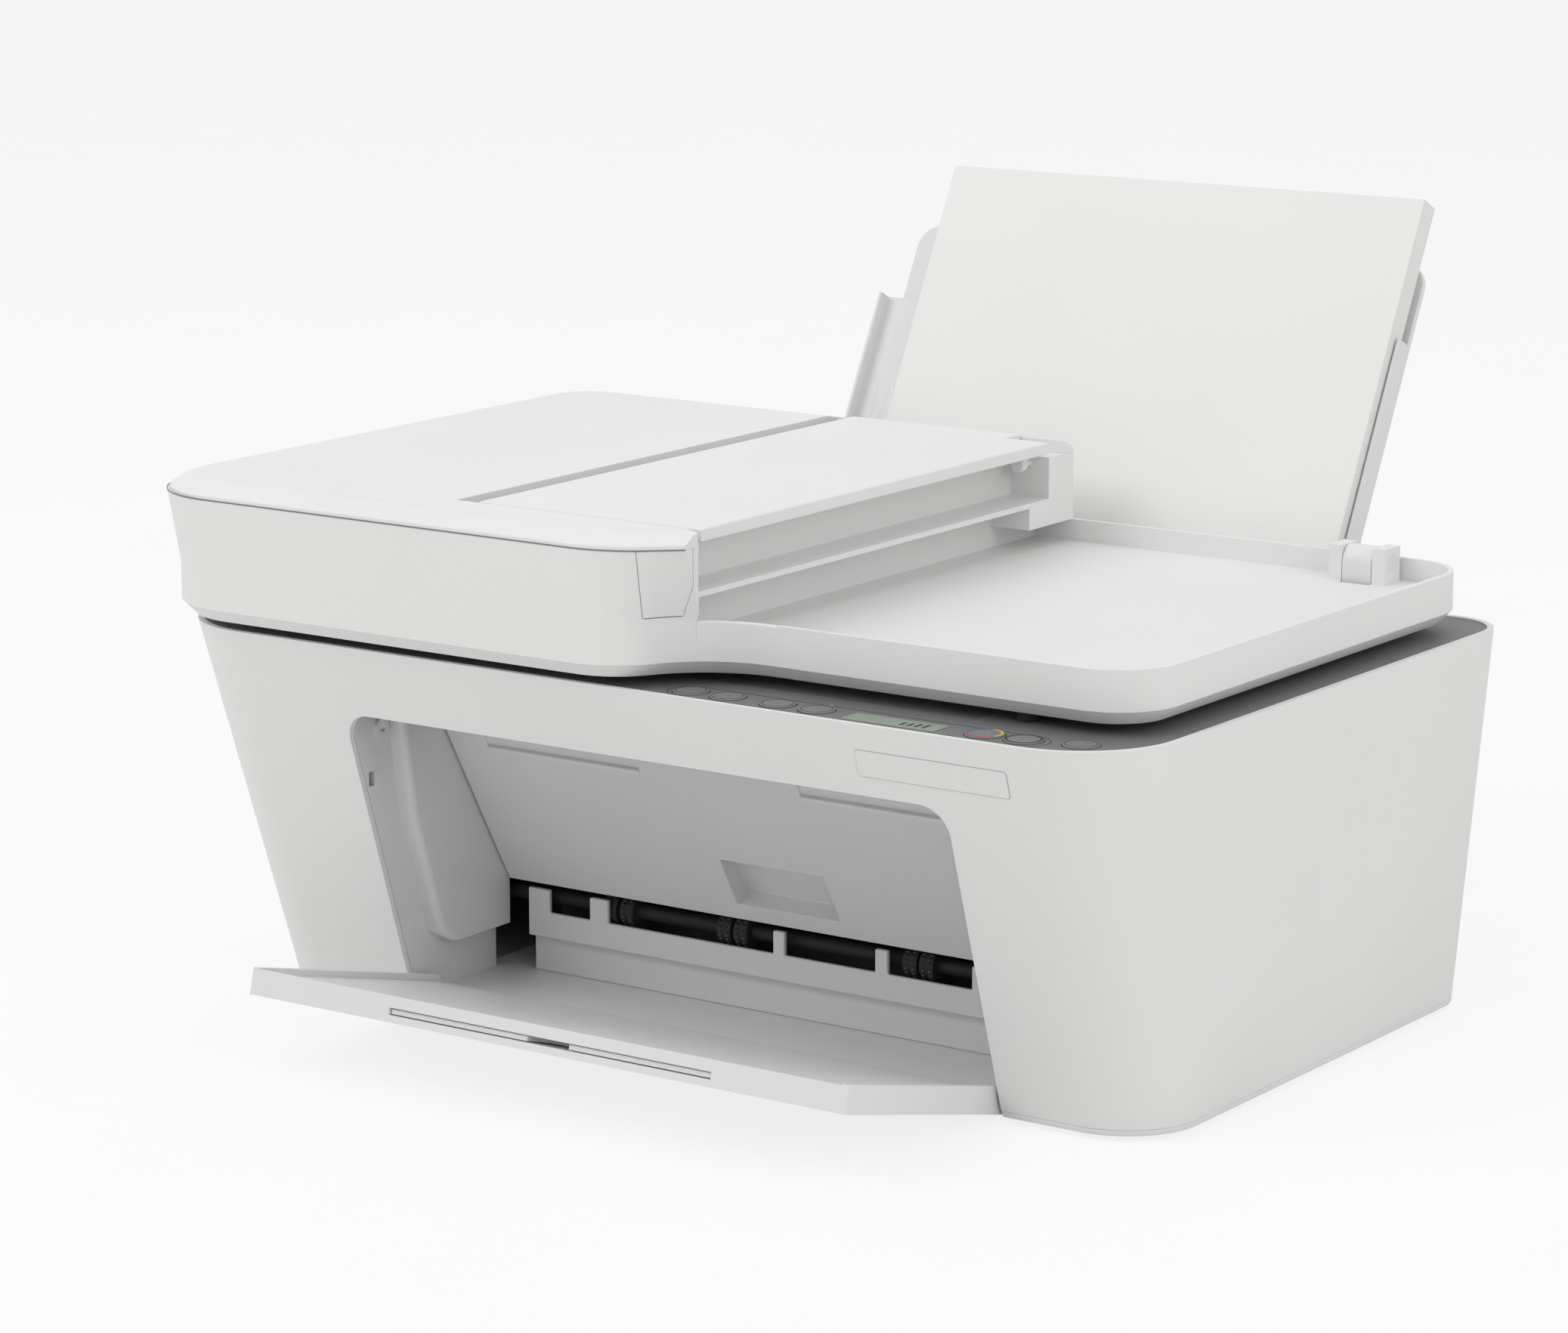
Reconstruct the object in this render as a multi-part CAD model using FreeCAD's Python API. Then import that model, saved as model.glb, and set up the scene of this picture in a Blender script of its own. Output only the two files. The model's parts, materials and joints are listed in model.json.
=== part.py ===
import FreeCAD, Part
import math
import os

os.makedirs("parts", exist_ok=True)
V = FreeCAD.Vector

# Base housing: a tub that widens towards its rim, in millimetres.
FOOT_H = 2.0
FOOT_R = 9.0
FOOT_X = 170.0
FOOT_Y = 88.0
PAN_T = 2.5
RIM_Z = 147.0
LOW_HALF_W = 198.6
RIM_HALF_W = 210.4
LOW_FRONT = -116.5
RIM_FRONT = -163.1
LOW_REAR = 116.5
RIM_REAR = 122.5
LOW_R_FRONT = 30.0
RIM_R_FRONT = 40.0
LOW_R_REAR = 18.0
RIM_R_REAR = 22.0
WALL = 2.5
FIT = 0.3
RUN = 0.05
SHELL_Z = FOOT_H + PAN_T

# Front bay
BAY_X0 = -126.0
BAY_X1 = 137.6
BAY_TOP = 120.0
BAY_R = 11.0
LINER_T = 2.5
LINER_REAR = -66.0
CHEEK_T = 7.0
CHEEK_EDGE = ((-128.9, 111.8), (-123.1, 76.1), (-107.5, 27.2))
CHEEK_BOTTOM = 22.5
CHEEK_SOFT = 3.0
LATCH_Y = (-140.5, -137.3)
LATCH_Z = (89.5, 95.0)
SCREW_Y = -134.0
SCREW_Z = 111.0
SCREW_HEAD_R = 3.6
SCREW_HEAD_T = 1.6
SCREW_R = 1.5
SCREW_L = 6.0
SCREW_SOCKET = 1.6

# Scanner tray, deck and glass
RING_T = 2.0
RING_W = 6.0
TRAY_FLOOR_T = 2.0
TRAY_WALL = 2.5
TRAY_REAR = 90.0
DECK_Z0 = 141.5
DECK_TOP = 146.5
GLASS_T = 3.0
GLASS_X = (-165.0, 135.0)
GLASS_Y = (-132.0, 82.0)
FEED_GLASS_X = (-196.0, -178.0)
GLASS_LIP = 3.0
RAIL_Y = -20.0
RAIL_W = 8.0
RAIL_H = 4.0
SCAN_PARK = 13.4
SCAN_BAR_X = SCAN_PARK - RIM_HALF_W
SCAN_BAR_W = 20.0
SCAN_BAR_Z = (126.0, 140.0)
SCAN_TRAVEL = 310.0

# Control panel
BUTTON_RISE = 0.6
BUTTON_TRAVEL = 0.8
BUTTON_FOOT = 1.2
BUTTONS = {
    "cancel_button": (29.2, -151.0, 6.5),
    "resume_button": (45.0, -151.0, 6.5),
    "info_button": (66.2, -151.0, 6.5),
    "wireless_button": (82.6, -151.0, 6.5),
    "colour_copy_button": (150.5, -150.3, 7.0),
    "black_copy_button": (166.0, -150.3, 7.0),
    "power_button": (185.5, -145.5, 6.5),
}
DISPLAY_X = (96.5, 134.0)
DISPLAY_Y = (-157.0, -146.5)
DISPLAY_T = 2.0
DISPLAY_RISE = 0.2

# Leaning paper path: P0 is the lower front edge of the stack
LEAN = 27.2
PATH_Y = 60.5
PATH_Z = 45.6
SHEET_X0 = -81.9
SHEET_W = 215.9
SHEET_L = 279.4
STACK_T = 10.0
THROAT_X0 = -110.0
THROAT_X1 = 141.0
THROAT_GAP = 6.5
THROAT_WALL = 2.5
THROAT_BACK = 19.0
THROAT_FRONT_A = (48.0, 100.0)
HOUSING_TOP = 157.0
HOUSING_LOW = 42.0
HOUSING_BEND = ((148.5, 62.0), (162.5, 80.0))
CHUTE_SIDE_A = 108.0
CHUTE_BACK_A = 136.0
CHUTE_FLOOR_T = 2.7
CHUTE_LUG_O = -21.0
CHUTE_LUG_A = (8.0, 42.0)
RUNNER_W = 4.0
CHUTE_FOOT_Y = (44.0, 84.0)

# Input tray
IN_TRAY_X = (-105.0, 136.0)
IN_TRAY_A = (60.0, 224.0)
IN_TRAY_T = 3.6
IN_LIP_T = 1.4
IN_LIP_H = 6.0
EXT_X = (-99.5, 135.0)
EXT_A = (140.0, 258.0)
EXT_T = 2.6
EXT_R = 10.0
GUIDE_A = (150.0, 186.0)
GUIDE_T = 2.5
GUIDE_BASE_W = 10.0
GUIDE_TRAVEL = 8.0

# Output tray: hinge near the pan, plate rising to the front
OUT_HINGE_Y = -109.0
OUT_HINGE_Z = 8.5
OUT_RISE = 14.0
OUT_LEN = 104.0
OUT_T = 7.5
OUT_SIDE = 1.5
OUT_RIM_H = 2.5
OUT_RIM_W = 3.0
OUT_LIP_H = 2.0
OUT_PIN_R = 2.2
OUT_PIN_L = 3.5
OUT_HEEL = 3.0
EXTENDER_X = (-60.0, 80.0)
EXTENDER_U = (24.0, 103.0)
EXTENDER_T = 2.0
EXTENDER_W0 = -4.6
EXTENDER_GRIP = 3.0
PAN_NOTCH_Y = -100.0

# Cartridge door: hinged under the bay ceiling
DOOR_HINGE_Y = -109.0
DOOR_HINGE_Z = 115.5
DOOR_FOOT_Y = -66.0
DOOR_FOOT_Z = 41.0
DOOR_T = 2.5
DOOR_GAP = 0.8
DOOR_PIN_R = 2.0
DOOR_PIN_L = 3.0
DOOR_GRIP_X = (-8.0, 38.0)
DOOR_GRIP_S = (56.0, 78.0)
DOOR_GRIP_D = 8.0
DOOR_SLOT_X = ((-100.0, -30.0), (42.0, 112.0))
DOOR_SLOT_S = (10.0, 16.0)
DOOR_SLOT_D = 1.0

# Exit ledge and platen
LEDGE_Y = (-66.0, -46.0)
LEDGE_X = (-110.0, 136.5)
LEDGE_TOP = 38.0
LEDGE_NOTCH = 29.0
LEDGE_FLOOR = (19.0, 21.5)
LEDGE_WALL = 2.2
LEDGE_LEG_Y = (-62.0, -59.5)
LEDGE_TEETH = ((-110.0, -100.0), (-80.7, -72.1), (4.4, 9.5), (49.9, 55.4), (92.0, 97.5), (130.0, 136.5))
EXIT_Y = -57.0
EXIT_Z = 33.4
EXIT_SHAFT_R = 3.0
EXIT_WHEEL_R = 6.5
EXIT_WHEEL_W = 6.0
EXIT_WHEELS = (-73.0, -65.2, -20.0, -12.4, 63.3, 70.6, 116.0, 124.0)
PLATEN_Y = (-45.0, -3.5)
PLATEN_TOP = 38.0
PLATEN_T = 3.0
PLATEN_RIB_H = 1.5
PLATEN_RIBS = 9

# Chassis, rollers and carriage
CHASSIS_T = 2.0
CHASSIS_X0 = -134.0
CHASSIS_X1 = 152.0
CHASSIS_Y = (-70.0, 36.0)
CHASSIS_TOP = 118.0
CHASSIS_BACK_Y = 34.0
CHASSIS_BACK_Z = 50.0
FEED_Y = 10.0
FEED_Z = 30.0
FEED_SHAFT_R = 4.0
FEED_R = 10.0
FEED_TYRES = ((-95.0, -55.0), (-20.0, 20.0), (55.0, 95.0))
PICK_A = 25.0
PICK_R = 14.0
PICK_SHAFT_R = 4.0
PICK_X = (10.0, 42.0)
ROD_Y = 12.0
ROD_Z = 85.0
ROD_R = 4.0
CAR_X0 = 70.0
CAR_W = 65.0
CAR_Y = (-48.0, 0.0)
CAR_Z = (44.0, 108.0)
CAR_WALL = 3.0
CAR_FLOOR = 6.0
CAR_SILL = 74.0
CAR_TRAVEL = 180.0
NOZZLE_Z = 41.0
NOZZLE_IN = 6.0
CART_TOP = 104.0
BELT_Y = (23.0, 29.0)
BELT_Z = 95.0
BELT_T = 1.2
PULLEY_R = 8.0
PULLEY_X = -122.0
IDLE_X = 136.0
CAR_MOTOR_R = 11.0
CAR_MOTOR_L = 26.0
MOTOR_SHAFT_R = 2.0

# Gear train in the left pillar
GEAR_M = 1.0
GEAR_X = (-146.0, -140.0)
PINION_TEETH = 12
FEED_TEETH = 36
IDLER_TEETH = 37
EXIT_TEETH = 24
GEAR_BACKLASH = 0.36
PINION_ANGLE = 60.0
FEED_MOTOR_R = 15.0
FEED_MOTOR_GAP = 8.6
FEED_MOTOR_X = (FEED_MOTOR_GAP - LOW_HALF_W, -155.0)
IDLER_PIN_R = 4.0

# Electronics
BOARD_GAP = 41.6
BOARD_X = LOW_HALF_W - BOARD_GAP
BOARD_T = 1.6
BOARD_Y = (-80.0, 70.0)
BOARD_TOP = 112.0
SUPPLY_GAP = 6.6
SUPPLY_W = 26.0
SUPPLY_X = (LOW_HALF_W - SUPPLY_GAP - SUPPLY_W, LOW_HALF_W - SUPPLY_GAP)
SUPPLY_Y = (-58.0, 62.0)
SUPPLY_TOP = 64.0
INLET_X = (163.0, 189.0)
INLET_TOP = 32.0
INLET_DEPTH = 22.0
USB_X = (-172.0, -156.0)
USB_TOP = 24.0
USB_DEPTH = 20.0
PORT_WALL = 3.0

# Lid
LID_Z = 150.5
LID_CHAMFER = 5.0
LID_FLOOR = 161.5
LID_RIM_Z = 170.0
LID_TOP_T = 2.5
LID_RIM_T = 2.0
LID_RIGHT = 201.5
LID_FRONT = -134.2
LID_REAR = 107.5
LID_LEFT = -211.0
LID_R = 24.0
LID_SKIN = 2.5
PAD_X = (-160.0, 140.0)
PAD_Y = (-128.0, 80.0)
PAD_T = 3.2
PAD_SEAT = 158.0
BUMPER_R = 4.0
BUMPER_X = (-171.5, 150.0)
BUMPER_Y = (-122.0, 88.0)
HINGE_X = (-160.0, 160.0)
HINGE_Y = 97.5
HINGE_Z = 169.0
HINGE_W = 12.0
HINGE_R = 6.0
HINGE_PIN_R = 3.0
EAR_T = 5.5

# Document feeder
ADF_FRONT = -170.0
ADF_REAR = 106.0
ADF_LEFT = -217.0
ADF_RIGHT = 27.0
ADF_SEAM = 196.5
COVER_H = 6.0
ADF_TOP = ADF_SEAM + COVER_H
ADF_R = 38.0
ADF_R_REAR = 16.0
ADF_BEND_X = -10.0
ADF_BEND_R = 30.0
ADF_BEND_R2 = 39.0
SLOT_Z = (162.0, 178.5)
SLOT_Y = (-143.0, 74.0)
SHELF_T = 2.0
SHELF_Y = (-143.3, 88.0)
BED_X = 9.5
BED_Z = 193.0
BED_T = 2.5
FLAP_X = (-72.0, 27.0)
FLAP_Y = (-143.0, 99.0)
FLAP_T = 4.7
GROOVE_X = -80.7
FLAP_PIVOT_X = 18.0
FLAP_PIVOT_Z = ADF_SEAM - 2.5
FLAP_PIN_R = 1.5
FLAP_LUG_R = 3.0
FLAP_LUG_W = 4.0
FLAP_LUG_IN = 5.0
FLAP_SEAM = 1.6
COVER_T = 2.5
COVER_EDGE = 1.5
COVER_SOFT = ((5.0, 1.4), (12.0, 0.0))
COVER_AXIS_X = -215.5
COVER_BARREL_R = 1.5
COVER_BARREL_Y = (-120.0, 80.0)
ADF_ROLL_X = -100.0
ADF_ROLL_Z = ADF_SEAM - 9.5
ADF_ROLL_R = 8.0
ADF_ROLL_SHAFT_R = 3.0
ADF_ROLL_Y = (-45.0, 5.0)
PANEL_X = 14.0
PANEL_Z0 = 172.0
PANEL_REAR = -146.5
FLAP_PIN_L = 2.8
BED_Y = (-150.0, 92.0)
BED_LEFT = -126.0
BED_RIB = 4.0
ROLL_POST = 4.0
ADF_CORNER = ((19.0, -158.0), (27.0, -151.0))


def box(x, y, z):
    """Block between a pair of limits along each axis."""
    return Part.makeBox(x[1] - x[0], y[1] - y[0], z[1] - z[0], V(x[0], y[0], z[0]))


def cyl_x(x0, x1, y, z, r):
    """Cylinder along X."""
    return Part.makeCylinder(r, x1 - x0, V(x0, y, z), V(1, 0, 0))


def cyl_y(y0, y1, x, z, r):
    """Cylinder along Y."""
    return Part.makeCylinder(r, y1 - y0, V(x, y0, z), V(0, 1, 0))


def cyl_z(z0, z1, x, y, r):
    """Cylinder along Z."""
    return Part.makeCylinder(r, z1 - z0, V(x, y, z0))


def prism_x(points, x0, x1):
    """Prism along X from a polygon of (y, z) points."""
    corners = [V(x0, y, z) for y, z in points]
    return Part.Face(Part.makePolygon(corners + corners[:1])).extrude(V(x1 - x0, 0, 0))


def prism_y(points, y0, y1):
    """Prism along Y from a polygon of (x, z) points."""
    corners = [V(x, y0, z) for x, z in points]
    return Part.Face(Part.makePolygon(corners + corners[:1])).extrude(V(0, y1 - y0, 0))


def join(shapes):
    """One solid from overlapping or touching solids."""
    whole = shapes[0].multiFuse(shapes[1:]) if len(shapes) > 1 else shapes[0]
    return whole.removeSplitter()


def edges_at(shape, test):
    """Edges whose two end points both meet the test."""
    found = []
    for edge in shape.Edges:
        if len(edge.Vertexes) == 2 and all(test(v.Point) for v in edge.Vertexes):
            found.append(edge)
    return found


def arc_edge(cx, cy, r, start, turn, z):
    """Flat arc about (cx, cy) from a start angle through a turn, in degrees."""
    points = []
    for share in (0.0, 0.5, 1.0):
        a = math.radians(start + turn * share)
        points.append(V(cx + r * math.cos(a), cy + r * math.sin(a), z))
    return Part.Arc(points[0], points[1], points[2]).toShape()


def line_edge(p, q, z):
    """Flat straight edge between two (x, y) points."""
    return Part.makeLine(V(p[0], p[1], z), V(q[0], q[1], z))


def mix(low, rim, z):
    """Value between the pan and the rim of the tub at height z."""
    return low + (rim - low) * (z - FOOT_H) / (RIM_Z - FOOT_H)


def front_at(z):
    """Front face of the tub at height z."""
    return mix(LOW_FRONT, RIM_FRONT, z)


def round_rect(x0, x1, y0, y1, rf, rr, z):
    """Rounded rectangle whose front and rear corners have their own radii."""
    edges = [
        arc_edge(x1 - rf, y0 + rf, rf, -90, 90, z),
        line_edge((x1, y0 + rf), (x1, y1 - rr), z),
        arc_edge(x1 - rr, y1 - rr, rr, 0, 90, z),
        line_edge((x1 - rr, y1), (x0 + rr, y1), z),
        arc_edge(x0 + rr, y1 - rr, rr, 90, 90, z),
        line_edge((x0, y1 - rr), (x0, y0 + rf), z),
        arc_edge(x0 + rf, y0 + rf, rf, 180, 90, z),
        line_edge((x0 + rf, y0), (x1 - rf, y0), z),
    ]
    return Part.Wire(edges)


def tub_outline(z, inset):
    """Plan outline of the tub at height z, moved in by the inset."""
    half = mix(LOW_HALF_W, RIM_HALF_W, z) - inset
    rf = mix(LOW_R_FRONT, RIM_R_FRONT, z) - inset
    rr = mix(LOW_R_REAR, RIM_R_REAR, z) - inset
    rear = mix(LOW_REAR, RIM_REAR, z) - inset
    return round_rect(-half, half, front_at(z) + inset, rear, rf, rr, z)


def tub(z0, z1, inset):
    """Solid slice of the tub between two heights."""
    return Part.makeLoft([tub_outline(z0, inset), tub_outline(z1, inset)], True, True)


def upright(z0, z1, inset, at):
    """Straight-sided slice with the tub's outline at one height."""
    plate = Part.Face(tub_outline(at, inset))
    plate.translate(V(0, 0, z0 - at))
    return plate.extrude(V(0, 0, z1 - z0))


def path_point(along, off):
    """World (y, z) of a point of the leaning paper path."""
    a = math.radians(LEAN)
    y = PATH_Y + along * math.sin(a) + off * math.cos(a)
    z = PATH_Z + along * math.cos(a) - off * math.sin(a)
    return (y, z)


def leaned(shape):
    """Shape made with Y as depth behind the sheet and Z along it, put in place."""
    shape = shape.copy()
    shape.rotate(V(0, 0, 0), V(1, 0, 0), -LEAN)
    shape.translate(V(0, PATH_Y, PATH_Z))
    return shape


def throat_front(z):
    """World y of the front of the paper throat at height z."""
    a = math.radians(LEAN)
    along = (z - PATH_Z - THROAT_GAP * math.sin(a)) / math.cos(a)
    return path_point(along, -THROAT_GAP)[0]


def bay_block(rise):
    """Volume of the front bay with rounded upper corners."""
    block = box((BAY_X0, BAY_X1), (RIM_FRONT - WALL, LINER_REAR), (SHELL_Z - WALL, BAY_TOP + rise))
    top = edges_at(block, lambda p: abs(p.z - BAY_TOP - rise) < 0.01)
    side = [e for e in top if abs(e.Vertexes[0].X - e.Vertexes[1].X) < 0.01]
    return block.makeFillet(BAY_R, side)


def base_shell():
    """Outer housing with the front bay, the rear paper window and the port windows."""
    shell = tub(SHELL_Z, RIM_Z, 0).cut(tub(SHELL_Z - 1, RIM_Z + 1, WALL))
    ring = tub(BAY_TOP, BAY_TOP + RING_T, WALL)
    ring = ring.cut(tub(BAY_TOP - 1, BAY_TOP + RING_T + 1, WALL + RING_W))
    shell = join([shell, ring]).cut(bay_block(0.0))
    window = (THROAT_X0 - FIT, THROAT_X1 + FIT)
    shell = shell.cut(box(window, (TRAY_REAR, RIM_REAR + WALL), (HOUSING_LOW - FIT, RIM_Z + 1)))
    for x, top in ((INLET_X, INLET_TOP), (USB_X, USB_TOP)):
        port = (x[0] - FIT, x[1] + FIT)
        shell = shell.cut(box(port, (LOW_REAR - 2 * WALL, RIM_REAR + WALL), (SHELL_Z - 1, top + FIT)))
    return shell


def base_pan():
    """Bottom pan with the notch that the output tray folds in."""
    pan = tub(FOOT_H, SHELL_Z, 0)
    return pan.cut(box((BAY_X0, BAY_X1), (LOW_FRONT - WALL * 4, PAN_NOTCH_Y), (0, SHELL_Z + 1)))


def feet():
    """Four rubber feet under the pan."""
    pads = []
    for x in (-FOOT_X, FOOT_X):
        for y in (-FOOT_Y, FOOT_Y):
            pads.append(cyl_z(0, FOOT_H, x, y, FOOT_R))
    return Part.makeCompound(pads)


def scanner_tray():
    """Tray under the glass, with the rail that the scan bar rides on."""
    z0 = BAY_TOP + RING_T
    inset = WALL + FIT
    floor = z0 + TRAY_FLOOR_T
    wide = (-RIM_HALF_W, RIM_HALF_W)
    outer = upright(z0, DECK_Z0, inset, z0).common(box(wide, (RIM_FRONT, TRAY_REAR), (z0, DECK_Z0)))
    inner = upright(floor, DECK_Z0 + 1, inset + TRAY_WALL, z0)
    inner = inner.common(box(wide, (RIM_FRONT, TRAY_REAR - TRAY_WALL), (floor, DECK_Z0 + 1)))
    half = mix(LOW_HALF_W, RIM_HALF_W, z0) - inset - TRAY_WALL
    rail = box((-half, half), (RAIL_Y - RAIL_W / 2, RAIL_Y + RAIL_W / 2), (floor, floor + RAIL_H))
    return join([outer.cut(inner), rail])


def glass_block(x, y, margin, z0, z1):
    """Block over a glass plate, grown by a margin in plan."""
    return box((x[0] - margin, x[1] + margin), (y[0] - margin, y[1] + margin), (z0, z1))


def top_deck():
    """Deck with seats for both glass plates, the display and the buttons."""
    deck = tub(DECK_Z0, DECK_TOP, WALL + FIT)
    for x in (GLASS_X, FEED_GLASS_X):
        deck = deck.cut(glass_block(x, GLASS_Y, FIT, DECK_TOP - GLASS_T, DECK_TOP + 1))
        deck = deck.cut(glass_block(x, GLASS_Y, -GLASS_LIP, DECK_Z0 - 1, DECK_TOP))
    deck = deck.cut(glass_block(DISPLAY_X, DISPLAY_Y, FIT, DECK_TOP - DISPLAY_T, DECK_TOP + 1))
    for x, y, r in BUTTONS.values():
        deck = deck.cut(cyl_z(DECK_Z0 - 1, DECK_TOP + 1, x, y, r + FIT))
    window = (THROAT_X0 - FIT, THROAT_X1 + FIT)
    front = throat_front(DECK_Z0) - THROAT_WALL
    return deck.cut(box(window, (front, RIM_REAR + WALL), (DECK_Z0 - 1, DECK_TOP + 1)))


def scan_glass():
    """Flatbed glass."""
    return glass_block(GLASS_X, GLASS_Y, 0, DECK_TOP - GLASS_T, DECK_TOP)


def adf_glass():
    """Narrow glass that the document feeder scans through."""
    return glass_block(FEED_GLASS_X, GLASS_Y, 0, DECK_TOP - GLASS_T, DECK_TOP)


def display():
    """Status display in the control panel."""
    return glass_block(DISPLAY_X, DISPLAY_Y, 0, DECK_TOP - DISPLAY_T, DECK_TOP + DISPLAY_RISE)


def button(name):
    """Round push button that stands a little above the deck."""
    x, y, r = BUTTONS[name]
    return cyl_z(DECK_Z0 + BUTTON_FOOT, DECK_TOP + BUTTON_RISE, x, y, r)


def scan_bar():
    """Scan head carrier across the glass, with a slot for its rail."""
    rail_top = BAY_TOP + RING_T + TRAY_FLOOR_T + RAIL_H
    bar = box((SCAN_BAR_X, SCAN_BAR_X + SCAN_BAR_W), GLASS_Y, SCAN_BAR_Z)
    half = RAIL_W / 2 + FIT
    return bar.cut(box((SCAN_BAR_X - 1, SCAN_BAR_X + SCAN_BAR_W + 1),
                       (RAIL_Y - half, RAIL_Y + half), (SCAN_BAR_Z[0] - 1, rail_top + FIT)))


def bay_side(x0, x1):
    """Plain side wall of the bay, set behind the front of the housing."""
    top = BAY_TOP - FIT
    gap = WALL + FIT
    points = [(front_at(SHELL_Z) + gap, SHELL_Z), (LINER_REAR, SHELL_Z),
              (LINER_REAR, top), (front_at(top) + gap, top)]
    return prism_x(points, x0, x1)


def bay_holes(x0, x1):
    """Bores for the tray pin and the liner screw."""
    return [cyl_x(x0, x1, OUT_HINGE_Y, OUT_HINGE_Z, OUT_PIN_R + RUN),
            cyl_x(x0, x1, SCREW_Y, SCREW_Z, SCREW_R + FIT)]


def left_bay_liner():
    """Left side of the bay with its raised cheek, latch hole and pivot bores."""
    out = BAY_X0 - LINER_T
    inner = BAY_X0 + CHEEK_T
    top = BAY_TOP - FIT
    edge = list(CHEEK_EDGE)
    points = [(edge[0][0], top)] + edge
    points += [(edge[2][0] + CHEEK_T, CHEEK_BOTTOM), (LINER_REAR, CHEEK_BOTTOM), (LINER_REAR, top)]
    cheek = prism_x(points, BAY_X0, inner)
    front = edges_at(cheek, lambda p: abs(p.x - inner) < 0.01 and p.y < edge[2][0] + CHEEK_T + 0.1)
    front = [e for e in front if e.Vertexes[0].Z < top - 0.1 or e.Vertexes[1].Z < top - 0.1]
    cheek = cheek.makeFillet(CHEEK_SOFT, front)
    liner = join([bay_side(out, BAY_X0), cheek])
    for hole in bay_holes(out - 1, BAY_X0 + 1):
        liner = liner.cut(hole)
    liner = liner.cut(box((out - 1, BAY_X0 + 1), LATCH_Y, LATCH_Z))
    pin = inner + DOOR_GAP - DOOR_PIN_L - DOOR_GAP
    return liner.cut(cyl_x(pin, inner + 1, DOOR_HINGE_Y, DOOR_HINGE_Z, DOOR_PIN_R + RUN))


def right_bay_liner():
    """Right side of the bay with pivot bores."""
    liner = bay_side(BAY_X1, BAY_X1 + LINER_T)
    for hole in bay_holes(BAY_X1 - 1, BAY_X1 + LINER_T + 1):
        liner = liner.cut(hole)
    return liner.cut(cyl_x(BAY_X1 - 1, BAY_X1 + LINER_T + 1, DOOR_HINGE_Y, DOOR_HINGE_Z, DOOR_PIN_R + RUN))


def liner_screws():
    """One socket screw through each bay liner."""
    screws = []
    for x, way in ((BAY_X0, 1), (BAY_X1, -1)):
        head = cyl_x(min(x, x + way * SCREW_HEAD_T), max(x, x + way * SCREW_HEAD_T),
                     SCREW_Y, SCREW_Z, SCREW_HEAD_R)
        shank = cyl_x(min(x, x - way * SCREW_L), max(x, x - way * SCREW_L), SCREW_Y, SCREW_Z, SCREW_R)
        socket = cyl_x(min(x + way * SCREW_HEAD_T / 2, x + way * SCREW_L),
                       max(x + way * SCREW_HEAD_T / 2, x + way * SCREW_L), SCREW_Y, SCREW_Z, SCREW_SOCKET)
        screws.append(join([head, shank]).cut(socket))
    return Part.makeCompound(screws)


def out_placed(shape):
    """Shape made with Y from the tray hinge forwards and Z as its height, put in place."""
    shape = shape.copy()
    shape.rotate(V(0, 0, 0), V(1, 0, 0), -OUT_RISE)
    shape.translate(V(0, OUT_HINGE_Y, OUT_HINGE_Z))
    return shape


def output_tray():
    """Folding output tray with rims, pivot pins and the slot of its extender."""
    x = (BAY_X0 + OUT_SIDE, BAY_X1 - OUT_SIDE)
    parts = [box(x, (-OUT_LEN, OUT_HEEL), (-OUT_T, 0))]
    for side in ((x[0], x[0] + OUT_RIM_W), (x[1] - OUT_RIM_W, x[1])):
        parts.append(box(side, (-OUT_LEN, OUT_HEEL), (-OUT_T, OUT_RIM_H)))
    parts.append(box(x, (-OUT_LEN, -OUT_LEN + OUT_RIM_W), (-OUT_T, OUT_LIP_H)))
    for end in ((x[0] - OUT_PIN_L, x[0] + 1), (x[1] - 1, x[1] + OUT_PIN_L)):
        parts.append(cyl_x(end[0], end[1], 0, 0, OUT_PIN_R))
    tray = join(parts)
    slot = (EXTENDER_W0 - FIT, EXTENDER_W0 + EXTENDER_T + FIT)
    tray = tray.cut(box((EXTENDER_X[0] - FIT, EXTENDER_X[1] + FIT),
                        (-OUT_LEN - 1, -EXTENDER_U[0] + FIT), slot))
    return out_placed(tray)


def tray_extender():
    """Pull-out extender inside the output tray."""
    z = (EXTENDER_W0, EXTENDER_W0 + EXTENDER_T)
    plate = box(EXTENDER_X, (-EXTENDER_U[1], -EXTENDER_U[0]), z)
    grip = cyl_z(z[0] - 1, z[1] + 1, (EXTENDER_X[0] + EXTENDER_X[1]) / 2, -EXTENDER_U[1], EXTENDER_GRIP * 3)
    return out_placed(plate.cut(grip))


def door_length():
    """Length of the cartridge door from its hinge to its lower edge."""
    return math.hypot(DOOR_FOOT_Y - DOOR_HINGE_Y, DOOR_FOOT_Z - DOOR_HINGE_Z)


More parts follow.
